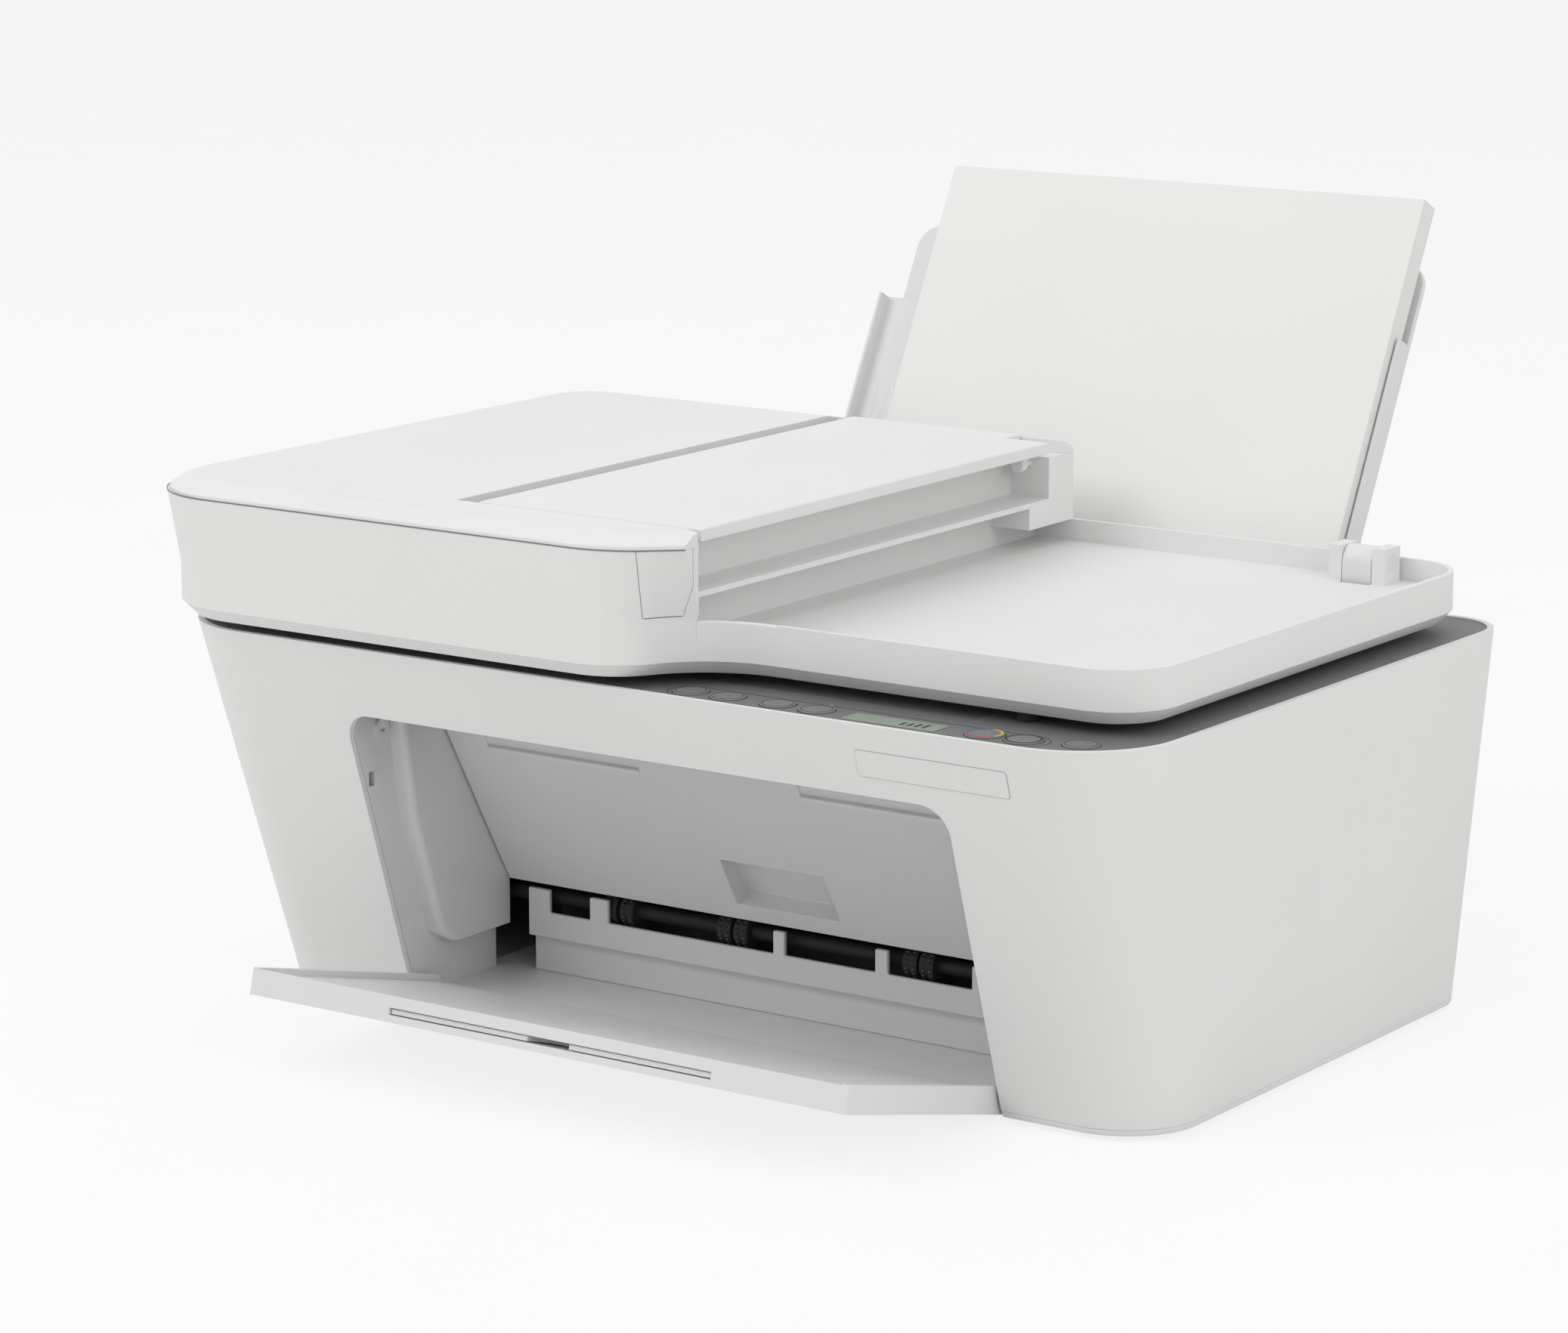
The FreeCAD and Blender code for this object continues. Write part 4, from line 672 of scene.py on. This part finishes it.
@dataclass
class ControlPanel:
    """Buttons with their marks, the display and the line round them.

    Args:
        keys: Button name to its centre, radius and mark.
        top: Height of the buttons' upper faces.
        deck: Height of the deck's upper face.
        ink: Height of a mark over its face.
        root: Depth of a mark below its face.
        line: Width of a mark's strokes.
        ring_in: How far a button's ring lies inside its edge.
        ring_lines: Width of the coloured, the wide and the fine rings.
        frame_line: Width of the line round the buttons.
        frame_x: Left and right side of that line.
        frame_y: Front and rear side of it.
        frame_corner: Corner radius of it.
        lamp_at: X and Y of the wireless lamp.
        lamp_r: Radius of that lamp.
        bar_width: Width of a bar on the display.
        bar_inset: Distance of the bars from the display's front, rear and right edges.
        bar_step: Distance from bar to bar, and how much shorter each next one is.
    """

    keys: dict[str, tuple[float, float, float, Mark]] = field(default_factory=lambda: {
        "cancel_button": (29.2, -151.0, 6.5, Mark.CROSS),
        "resume_button": (45.0, -151.0, 6.5, Mark.SHEET),
        "info_button": (66.2, -151.0, 6.5, Mark.INFO),
        "wireless_button": (82.6, -151.0, 6.5, Mark.WAVES),
        "colour_copy_button": (150.5, -150.3, 7.0, Mark.COLOUR),
        "black_copy_button": (166.0, -150.3, 7.0, Mark.BLACK),
        "power_button": (185.5, -145.5, 6.5, Mark.POWER),
    })
    top: float = 147.1 * MM
    deck: float = 146.5 * MM
    ink: float = 0.06 * MM
    root: float = 0.05 * MM
    line: float = 0.45 * MM
    ring_in: float = 0.9 * MM
    ring_lines: tuple[float, float, float] = (0.8 * MM, 0.9 * MM, 0.3 * MM)
    frame_line: float = 0.35 * MM
    frame_x: tuple[float, float] = (20.5 * MM, 175.5 * MM)
    frame_y: tuple[float, float] = (-158.6 * MM, -142.6 * MM)
    frame_corner: float = 7.9 * MM
    lamp_at: tuple[float, float] = (82.6 * MM, -142.0 * MM)
    lamp_r: float = 0.8 * MM
    bar_width: float = 1.3 * MM
    bar_inset: tuple[float, float] = (2.6 * MM, 6.0 * MM)
    bar_step: tuple[float, float] = (3.0 * MM, 0.5 * MM)

    def build(self, frame: dict) -> None:
        """Builds the panel's pieces.
        """
        for name, (x, y, r, mark) in self.keys.items():
            Moulding(name, name, BUTTON, "button_plastic", 0.35 * MM, 3).build(frame)
            self.mark_button(name, x * MM, y * MM, r * MM, mark)
        self.outline()
        self.lamp()
        self.screen(frame)

    def strokes(self, name: str, lines: list[list[tuple[float, float]]], finish: Finish, body: str,
                width: float) -> None:
        """Prints strokes on a button or on the deck.

        Args:
            name: Piece name.
            lines: Strokes as (x, y) points.
            finish: Ink.
            body: Body that carries them.
            width: Stroke width.
        """
        face = self.deck if body == "base" else self.top
        mesh = ribbon_mesh(name, lines, width, face - self.root, face + self.ink)
        link_piece(name, mesh, finish, body)

    def mark_button(self, name: str, x: float, y: float, r: float, mark: Mark) -> None:
        """Prints the ring and the symbol of one button.

        Args:
            name: Button name.
            x: Centre along X.
            y: Centre along Y.
            r: Button radius.
            mark: Its symbol.
        """
        u = r / 6.5
        a = 1.9 * MM * u
        ring = r - self.ring_in
        coloured, wide, fine = self.ring_lines
        if mark is Mark.COLOUR:
            for i, ink in enumerate((SYMBOL_BLUE, SYMBOL_RED, SYMBOL_AMBER)):
                arc = arc_points(x, y, ring, 100 + 120 * i, 110, 16)
                self.strokes(f"{name}_ring_{i}", [arc], ink, name, coloured)
        else:
            width = wide if mark is Mark.BLACK else fine
            self.strokes(name + "_ring", [arc_points(x, y, ring, 0, 360, 40)], SYMBOL, name, width)
        sheet = [(x - a, y - a), (x + a * 0.6, y - a), (x + a * 0.6, y + a), (x - a, y + a), (x - a, y - a)]
        back = [(x - a * 0.4, y + a * 1.5), (x + a * 1.2, y + a * 1.5), (x + a * 1.2, y - a * 0.5)]
        lines = {
            Mark.CROSS: [[(x - a, y - a), (x + a, y + a)], [(x - a, y + a), (x + a, y - a)]],
            Mark.SHEET: [sheet, arc_points(x + a * 0.8, y, a * 0.9, -90, 180, 10)],
            Mark.INFO: [[(x, y - a * 1.1), (x, y + a * 0.5)], [(x, y + a), (x, y + a * 1.3)]],
            Mark.WAVES: [arc_points(x, y - a, a * k, 45, 90, 8) for k in (0.5, 1.2, 1.9)],
            Mark.COLOUR: [sheet, back],
            Mark.BLACK: [sheet, back],
            Mark.POWER: [arc_points(x, y, a, 125, 290, 20), [(x, y + a * 0.2), (x, y + a * 1.3)]],
        }[mark]
        ink = {Mark.CROSS: SYMBOL_RED, Mark.POWER: SYMBOL_WHITE}.get(mark, SYMBOL)
        self.strokes(name + "_mark", lines, ink, name, self.line)

    def outline(self) -> None:
        """Draws the line round all the buttons but the power button."""
        points = pill_points(*self.frame_x, *self.frame_y, self.frame_corner)
        self.strokes("panel_outline", [points], SYMBOL, "base", self.frame_line)

    def lamp(self) -> None:
        """Sets the small lamp behind the wireless button."""
        points = [Vector((px, py, self.deck - 0.1 * MM))
                  for px, py in arc_points(*self.lamp_at, self.lamp_r, 0, 337.5, 15)]
        mesh = solid_plate("wireless_lamp", points, Vector((0, 0, 0.25 * MM)))
        link_piece("wireless_lamp", mesh, SYMBOL_TEAL, "base")

    def screen(self, frame: dict) -> None:
        """Dresses the display and draws its level bars.
        """
        dress(frame, SCREEN, "display")
        low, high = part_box("display")
        (inset, side), (step, shorter) = self.bar_inset, self.bar_step
        lines = []
        for i in range(4):
            x = high.x - side - step * i
            lines.append([(x, low.y + inset), (x, high.y - inset - shorter * i)])
        mesh = ribbon_mesh("display_bars", lines, self.bar_width, high.z - 0.02 * MM, high.z + 0.03 * MM)
        link_piece("display_bars", mesh, SYMBOL, "base")


@dataclass
class ScannerLid:
    """Lid with the document feeder on it.

    Args:
        pad_edge: Width over which the foam pad thins out.
        pad_lift: How much thinner the pad is at its edges.
        left: Left side of the feeder at its seam.
        front: Front of the feeder.
        rear: Rear of the feeder.
        corner: Radius of its front left corner.
        bend_x: Where the feeder's front starts to curve back.
        cover_end: Ends of the straight stretch after that curve.
        sweep: Centre and radius of the curve that leads on to the lid's front.
        sweep_end: Angle of that curve where the feeder's right side meets it.
        seam_z: Lower and upper edge of the seam under the feeder's cover.
        rim_z: Foot and top of the rim along that curve.
        rim_wall: Thickness of that rim.
        rim_right: Where that rim runs into the straight front.
        seam_width: Width of the seam line.
        seam_stop: Distance of its rear end from the feeder's rear.
        pad_cells: Cells of the pad along a side.
    """

    pad_edge: float = 22.0 * MM
    pad_lift: float = 4.6 * MM
    left: float = -217.0 * MM
    front: float = -170.0 * MM
    rear: float = 106.0 * MM
    corner: float = 38.0 * MM
    bend_x: float = -10.0 * MM
    cover_end: tuple[tuple[float, float], tuple[float, float]] = (
        (19.0 * MM, -158.0 * MM), (27.0 * MM, -151.0 * MM))
    sweep: tuple[float, float, float] = (50.49 * MM, -173.2 * MM, 39.02 * MM)
    sweep_end: float = 130.0
    seam_z: tuple[float, float] = (196.25 * MM, 196.75 * MM)
    rim_z: tuple[float, float] = (160.0 * MM, 169.98 * MM)
    rim_wall: float = 2.0 * MM
    rim_right: float = 54.5 * MM
    seam_width: float = 0.3 * MM
    seam_stop: float = 16.0 * MM
    pad_cells: int = 36

    def build(self, frame: dict) -> None:
        """Builds the lid's pieces.
        """
        Moulding("lid_shell", "lid", SHELL, "white_plastic", 1.0 * MM, 3, 42.0).build(frame)
        Moulding("adf_cover", "adf_cover", SHELL, "white_plastic", 0.4 * MM, 2, 52.0).build(frame)
        Moulding("feeder_flap", "feeder_flap", SHELL, "white_plastic", 0.7 * MM, 3).build(frame)
        Moulding("adf_end_panel", "lid", SHELL, "white_plastic", 0.4 * MM).build(frame)
        dress(frame, BAY, "adf_frame")
        self.pad()
        self.seam()
        self.rim_bend()
        dress(frame, RUBBER, "lid_bumpers", "adf_roller")

    def seam(self) -> None:
        """Draws the shadow line under the feeder's cover."""
        (px, py), last = self.cover_end
        swing = 2 * math.atan2(py - self.front, px - self.bend_x)
        r = math.hypot(px - self.bend_x, py - self.front) / 2 / math.sin(swing / 2)
        points = [(self.left, self.rear - self.seam_stop)]
        points += arc_points(self.left + self.corner, self.front + self.corner, self.corner, 180, 90, 24)
        points += arc_points(self.bend_x, self.front + r, r, -90, math.degrees(swing), 12) + [last]
        mesh = ribbon_mesh("cover_seam", [points], self.seam_width, *self.seam_z)
        link_piece("cover_seam", mesh, BUTTON, "lid")

    def rim_bend(self) -> None:
        """Carries the lid's rim round the curve to the feeder's right side."""
        cx, cy, cr = self.sweep
        outer, inner = (arc_points(cx, cy, r, self.sweep_end, 90 - self.sweep_end, 14)
                        + [(self.rim_right, cy + r)] for r in (cr, cr + self.rim_wall))
        low, high = self.rim_z
        mesh = solid_plate("rim_bend", [Vector((x, y, low)) for x, y in outer + inner[::-1]],
                           Vector((0, 0, high - low)))
        solid = shaded(rounded(mesh, "rim_bend", 0.8 * MM, 3), 42.0)
        link_piece("rim_bend", solid, SHELL, "lid")

    def pad(self) -> None:
        """Makes the foam pad that presses the page on the glass, thinner towards its edges."""
        low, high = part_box("lid_pad")
        count, size = self.pad_cells, high - low
        work = bmesh.new()
        rows = []
        for i in range(count + 1):
            row = []
            for j in range(count + 1):
                u, v = i / count, j / count
                edge = min(u * size.x, (1 - u) * size.x, v * size.y, (1 - v) * size.y)
                t = min(edge / self.pad_edge, 1.0)
                z = low.z + self.pad_lift * (1 - t * t * (3 - 2 * t))
                row.append(work.verts.new((low.x + u * size.x, low.y + v * size.y, z)))
            rows.append(row)
        for i in range(count):
            for j in range(count):
                work.faces.new((rows[i][j], rows[i][j + 1], rows[i + 1][j + 1], rows[i + 1][j]))
        rim = ([rows[i][0] for i in range(count)] + [rows[count][j] for j in range(count)]
               + [rows[i][count] for i in range(count, 0, -1)] + [rows[0][j] for j in range(count, 0, -1)])
        head = [work.verts.new((p.co.x, p.co.y, high.z)) for p in rim]
        for i in range(len(rim)):
            k = (i + 1) % len(rim)
            work.faces.new((rim[i], rim[k], head[k], head[i]))
        work.faces.new(head)
        bmesh.ops.recalc_face_normals(work, faces=work.faces)
        mesh = mesh_of(work, "page_pad")
        for face in mesh.polygons:
            face.use_smooth = True
        mesh.set_sharp_from_angle(angle=math.radians(EDGE_ANGLE))
        piece = link_piece("page_pad", mesh, PAPER, "lid")
        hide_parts("lid_pad")


@dataclass
class PaperFeed:
    """Rear input tray with its blank sheets.

    Args:
        left: Left edge of the sheets.
        width: Sheet width.
        length: Sheet length.
        depth: Thickness of the stack.
        lean: Backward lean in degrees.
        foot: Y and Z of the stack's lower front edge.
        bundles: Number of visible layers.
        slack: Gap beside a layer, as a share of its thickness.
        soft: Edge radius of a layer, as a share of its thickness.
    """

    left: float = -81.9 * MM
    width: float = 215.9 * MM
    length: float = 279.4 * MM
    depth: float = 10.0 * MM
    lean: float = 27.2
    foot: tuple[float, float] = (60.5 * MM, 45.6 * MM)
    bundles: int = 40
    slack: float = 0.06
    soft: float = 0.2

    def build(self, frame: dict) -> None:
        """Builds the feed's pieces.
        """
        for node in ("input_tray", "tray_extension", "width_guide"):
            Moulding(node, node, PANEL, "grey_plastic").build(frame)
        dress(frame, RUBBER, "pick_roller")
        self.sheets()

    def sheets(self) -> None:
        """Lays the stack as thin layers through geometry nodes."""
        layer = self.depth / self.bundles
        turn = Matrix.Translation((0, *self.foot)) @ Matrix.Rotation(math.radians(-self.lean), 4, "X")
        source = block_mesh("sheet", Vector((self.left, layer * self.slack, 0)),
                            Vector((self.left + self.width, layer * (1 - self.slack), self.length)),
                            layer * self.soft)
        source.transform(turn)
        step = turn.to_3x3() @ Vector((0, layer, 0))
        mesh = RepeatTree("sheet_layers").spread(source, self.bundles, Vector(), step, PAPER)
        piece = link_piece("sheet_layers", mesh, PAPER, "paper_stack")
        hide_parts("paper_stack")


@dataclass
class OutputBay:
    """Front bay, output tray, door and exit ledge.

    Args:
        lip_x: Ends of the lip under the door's left slot.
        lip_y: Front and back of a lip, from the hinge, on the upright door.
        lip_z: Foot and top of a lip, likewise.
        lip_edge: Edge radius of a lip.
        lip_step: Distance to the lip under its right slot.
        hinge: Y and Z of the door's hinge.
        lean: Lean of the door in degrees.
    """

    lip_x: tuple[float, float] = (-100.0 * MM, -30.0 * MM)
    lip_y: tuple[float, float] = (-2.0 * MM, -0.3 * MM)
    lip_z: tuple[float, float] = (-17.2 * MM, -15.6 * MM)
    lip_edge: float = 0.35 * MM
    lip_step: float = 142.0 * MM
    hinge: tuple[float, float] = (-109.0 * MM, 115.5 * MM)
    lean: float = 29.99

    def door_lips(self) -> None:
        """Sets a raised lip under both slots of the door through geometry nodes, in shell white as a painted
        highlight for their lit tops.
        """
        low, high = (Vector(corner) for corner in zip(self.lip_x, self.lip_y, self.lip_z))
        source = block_mesh("lip", low, high, self.lip_edge)
        turn = Matrix.Rotation(math.radians(self.lean), 4, "X")
        source.transform(Matrix.Translation((0, *self.hinge)) @ turn)
        # The lips get the shell white, not the door's grey: a painted highlight for their lit upper faces.
        mesh = RepeatTree("door_lips").spread(source, 2, Vector(), Vector((self.lip_step, 0, 0)), SHELL)
        link_piece("door_lips", mesh, SHELL, "cartridge_door")

    def build(self, frame: dict) -> None:
        """Builds the bay's pieces.
        """
        for node in ("left_bay_liner", "right_bay_liner", "exit_ledge"):
            Moulding(node, "base", BAY, "grey_plastic").build(frame)
        Moulding("cartridge_door", "cartridge_door", BAY, "grey_plastic", 0.6 * MM, 3).build(frame)
        Moulding("output_tray", "output_tray", TRAY, "grey_plastic").build(frame)
        Moulding("tray_extender", "tray_extender", TRAY, "grey_plastic", 0.4 * MM).build(frame)
        dress(frame, SCREW, "liner_screws")
        dress(frame, INNER, "platen")
        self.door_lips()


@dataclass
class Mechanism:
    """Print carriage, rollers, gears, motors, boards and scan bar.

    Args:
        wheels: Places of the exit wheels along their shaft.
        axle: Y and Z of that shaft.
        tip: Radius of a wheel's points.
        root: Radius between the points.
        points: Number of points round a wheel.
        discs: Left sides of a wheel's discs, from its middle.
        disc_width: Thickness of a disc.
    """

    wheels: tuple[float, ...] = (-73.0, -65.2, -20.0, -12.4, 63.3, 70.6, 116.0, 124.0)
    axle: tuple[float, float] = (-57.0 * MM, 33.4 * MM)
    tip: float = 6.95 * MM
    root: float = 6.3 * MM
    points: int = 24
    discs: tuple[float, float] = (-2.0 * MM, 1.0 * MM)
    disc_width: float = 1.0 * MM

    def star_wheels(self) -> None:
        """Sets two pointed discs on every exit wheel."""
        work = bmesh.new()
        y, z = self.axle
        star = []
        for i in range(2 * self.points):
            a, r = math.pi * i / self.points, self.root if i % 2 else self.tip
            star.append((y + r * math.cos(a), z + r * math.sin(a)))
        for place in (x * MM + side for x in self.wheels for side in self.discs):
            ends = [[work.verts.new((x, *point)) for point in star] for x in (place, place + self.disc_width)]
            work.faces.new(ends[1])
            work.faces.new(ends[0][::-1])
            for i in range(2 * self.points):
                j = (i + 1) % (2 * self.points)
                work.faces.new((ends[0][i], ends[0][j], ends[1][j], ends[1][i]))
        mesh = mesh_of(work, "star_wheels")
        link_piece("star_wheels", mesh, INNER, "exit_shaft")

    def build(self, frame: dict) -> None:
        """Builds the mechanism's pieces.
        """
        Moulding("carriage", "carriage", INNER, "dark_plastic").build(frame)
        dress(frame, INNER, "black_cartridge", "scan_bar", "power_supply")
        dress(frame, INK, "colour_cartridge")
        dress(frame, STEEL, "chassis", "guide_rod", "carriage_motor", "feed_motor")
        dress(frame, RUBBER, "drive_belt", "exit_roller", "feed_roller")
        dress(frame, GEAR, "feed_gear", "idler_gear", "exit_gear")
        dress(frame, BRASS, "motor_pinion", "belt_pulley")
        dress(frame, BOARD, "main_board")
        self.star_wheels()


@dataclass
class Studio:
    """Floor, world, lamps and camera.

    Args:
        eye: Camera place in metres.
        tilt: Camera angle below the horizon in degrees.
        heading: Camera turn about Z in degrees.
        lens: Focal length in millimetres.
        sensor: Sensor width in millimetres.
        lamps: Lamp name to its place, power in watts and size.
        aim: What the lamps face.
        glow: Share of the floor that shows as plain white.
        ambient: Strength of the surroundings' light.
        floor_half: Half the floor's side.
    """

    eye: tuple[float, float, float] = (1.0261, -1.5235, 0.5110)
    tilt: float = 11.838137
    heading: float = 34.894634
    lens: float = 113.996
    sensor: float = 36.0
    lamps: dict[str, tuple[tuple[float, float, float], float, float]] = field(default_factory=lambda: {
        "key": ((-1.3, -1.7, 2.1), 24.0, 1.6),
        "fill": ((2.2, -0.6, 1.4), 13.5, 1.6),
        "top": ((0.0, 0.4, 2.4), 9.0, 2.0),
    })
    aim: tuple[float, float, float] = (0.0, 0.0, 0.1)
    glow: float = 0.82
    ambient: float = 0.55
    floor_half: float = 6.0

    def build(self) -> None:
        """Builds the studio round the printer."""
        bpy.context.scene.view_settings.view_transform = "Standard"
        self.camera()
        self.floor()
        self.world()
        for name, (place, power, size) in self.lamps.items():
            self.lamp(name, place, power, size)

    def camera(self) -> None:
        """Places the camera at the photograph's viewing angle."""
        data = bpy.data.cameras.new("view")
        data.lens = self.lens
        data.sensor_width = self.sensor
        data.sensor_fit = "HORIZONTAL"
        obj = bpy.data.objects.new("view", data)
        obj.location = self.eye
        obj.rotation_euler = (math.radians(90 - self.tilt), 0, math.radians(self.heading))
        bpy.context.scene.collection.objects.link(obj)
        bpy.context.scene.camera = obj

    @staticmethod
    def seen_rays(nodes: bpy.types.Nodes, links: bpy.types.NodeLinks) -> bpy.types.NodeSocket:
        """Picks the rays that show the background: seen, mirrored or through glass.

        Args:
            nodes: Nodes of the tree.
            links: Links of the tree.

        Returns:
            A socket that is 1 on those rays and 0 on the others.
        """
        path = nodes.new("ShaderNodeLightPath")
        seen = path.outputs["Is Camera Ray"]
        for name in ("Is Glossy Ray", "Is Transmission Ray"):
            most = nodes.new("ShaderNodeMath")
            most.operation = "MAXIMUM"
            links.new(seen, most.inputs[0])
            links.new(path.outputs[name], most.inputs[1])
            seen = most.outputs["Value"]
        return seen

    def floor(self) -> None:
        """Lays a pale floor that keeps the printer's shadow."""
        mesh = bpy.data.meshes.new("floor")
        h = self.floor_half
        mesh.from_pydata([(-h, -h, 0), (h, -h, 0), (h, h, 0), (-h, h, 0)], [], [(0, 1, 2, 3)])
        mat = Finish("studio_floor", Tone.PAPER_WHITE, rough=0.9, grain=60.0, depth=0.0).material()
        mesh.materials.append(mat)
        nodes, links = mat.node_tree.nodes, mat.node_tree.links
        glow = nodes.new("ShaderNodeEmission")
        blend = nodes.new("ShaderNodeMixShader")
        share = nodes.new("ShaderNodeMath")
        share.operation = "MULTIPLY"
        share.inputs[1].default_value = self.glow
        links.new(self.seen_rays(nodes, links), share.inputs[0])
        links.new(share.outputs["Value"], blend.inputs["Fac"])
        links.new(nodes["Principled BSDF"].outputs["BSDF"], blend.inputs[1])
        links.new(glow.outputs["Emission"], blend.inputs[2])
        links.new(blend.outputs["Shader"], nodes["Material Output"].inputs["Surface"])
        obj = bpy.data.objects.new("floor", mesh)
        bpy.context.scene.collection.objects.link(obj)

    def world(self) -> None:
        """Makes the soft white surroundings."""
        world = bpy.data.worlds.new("studio")
        bpy.context.scene.world = world
        world.use_nodes = True
        nodes, links = world.node_tree.nodes, world.node_tree.links
        seen = self.seen_rays(nodes, links)
        level = nodes.new("ShaderNodeMapRange")
        level.inputs["To Min"].default_value = self.ambient
        level.inputs["To Max"].default_value = 1.0
        links.new(seen, level.inputs["Value"])
        back = nodes["Background"]
        back.inputs["Color"].default_value = (1, 1, 1, 1)
        links.new(level.outputs["Result"], back.inputs["Strength"])

    def lamp(self, name: str, place: tuple[float, float, float], power: float, size: float) -> None:
        """Hangs one soft lamp that faces the printer.

        Args:
            name: Lamp name.
            place: Its place in metres.
            power: Its power in watts.
            size: Side of its square face.
        """
        data = bpy.data.lights.new(name, "AREA")
        data.energy = power
        data.size = size
        obj = bpy.data.objects.new(name, data)
        obj.location = place
        obj.rotation_euler = (Vector(self.aim) - Vector(place)).to_track_quat("-Z", "Y").to_euler()
        bpy.context.scene.collection.objects.link(obj)


def main() -> None:
    """Builds the printer's looks and its studio."""
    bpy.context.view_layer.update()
    Studio().build()
    for assembly in (Housing(), ControlPanel(), ScannerLid(), PaperFeed(), OutputBay(), Mechanism()):
        LOG.info("assembly %s", type(assembly).__name__)
        assembly.build(frame)


if __name__ == "__main__":
    main()
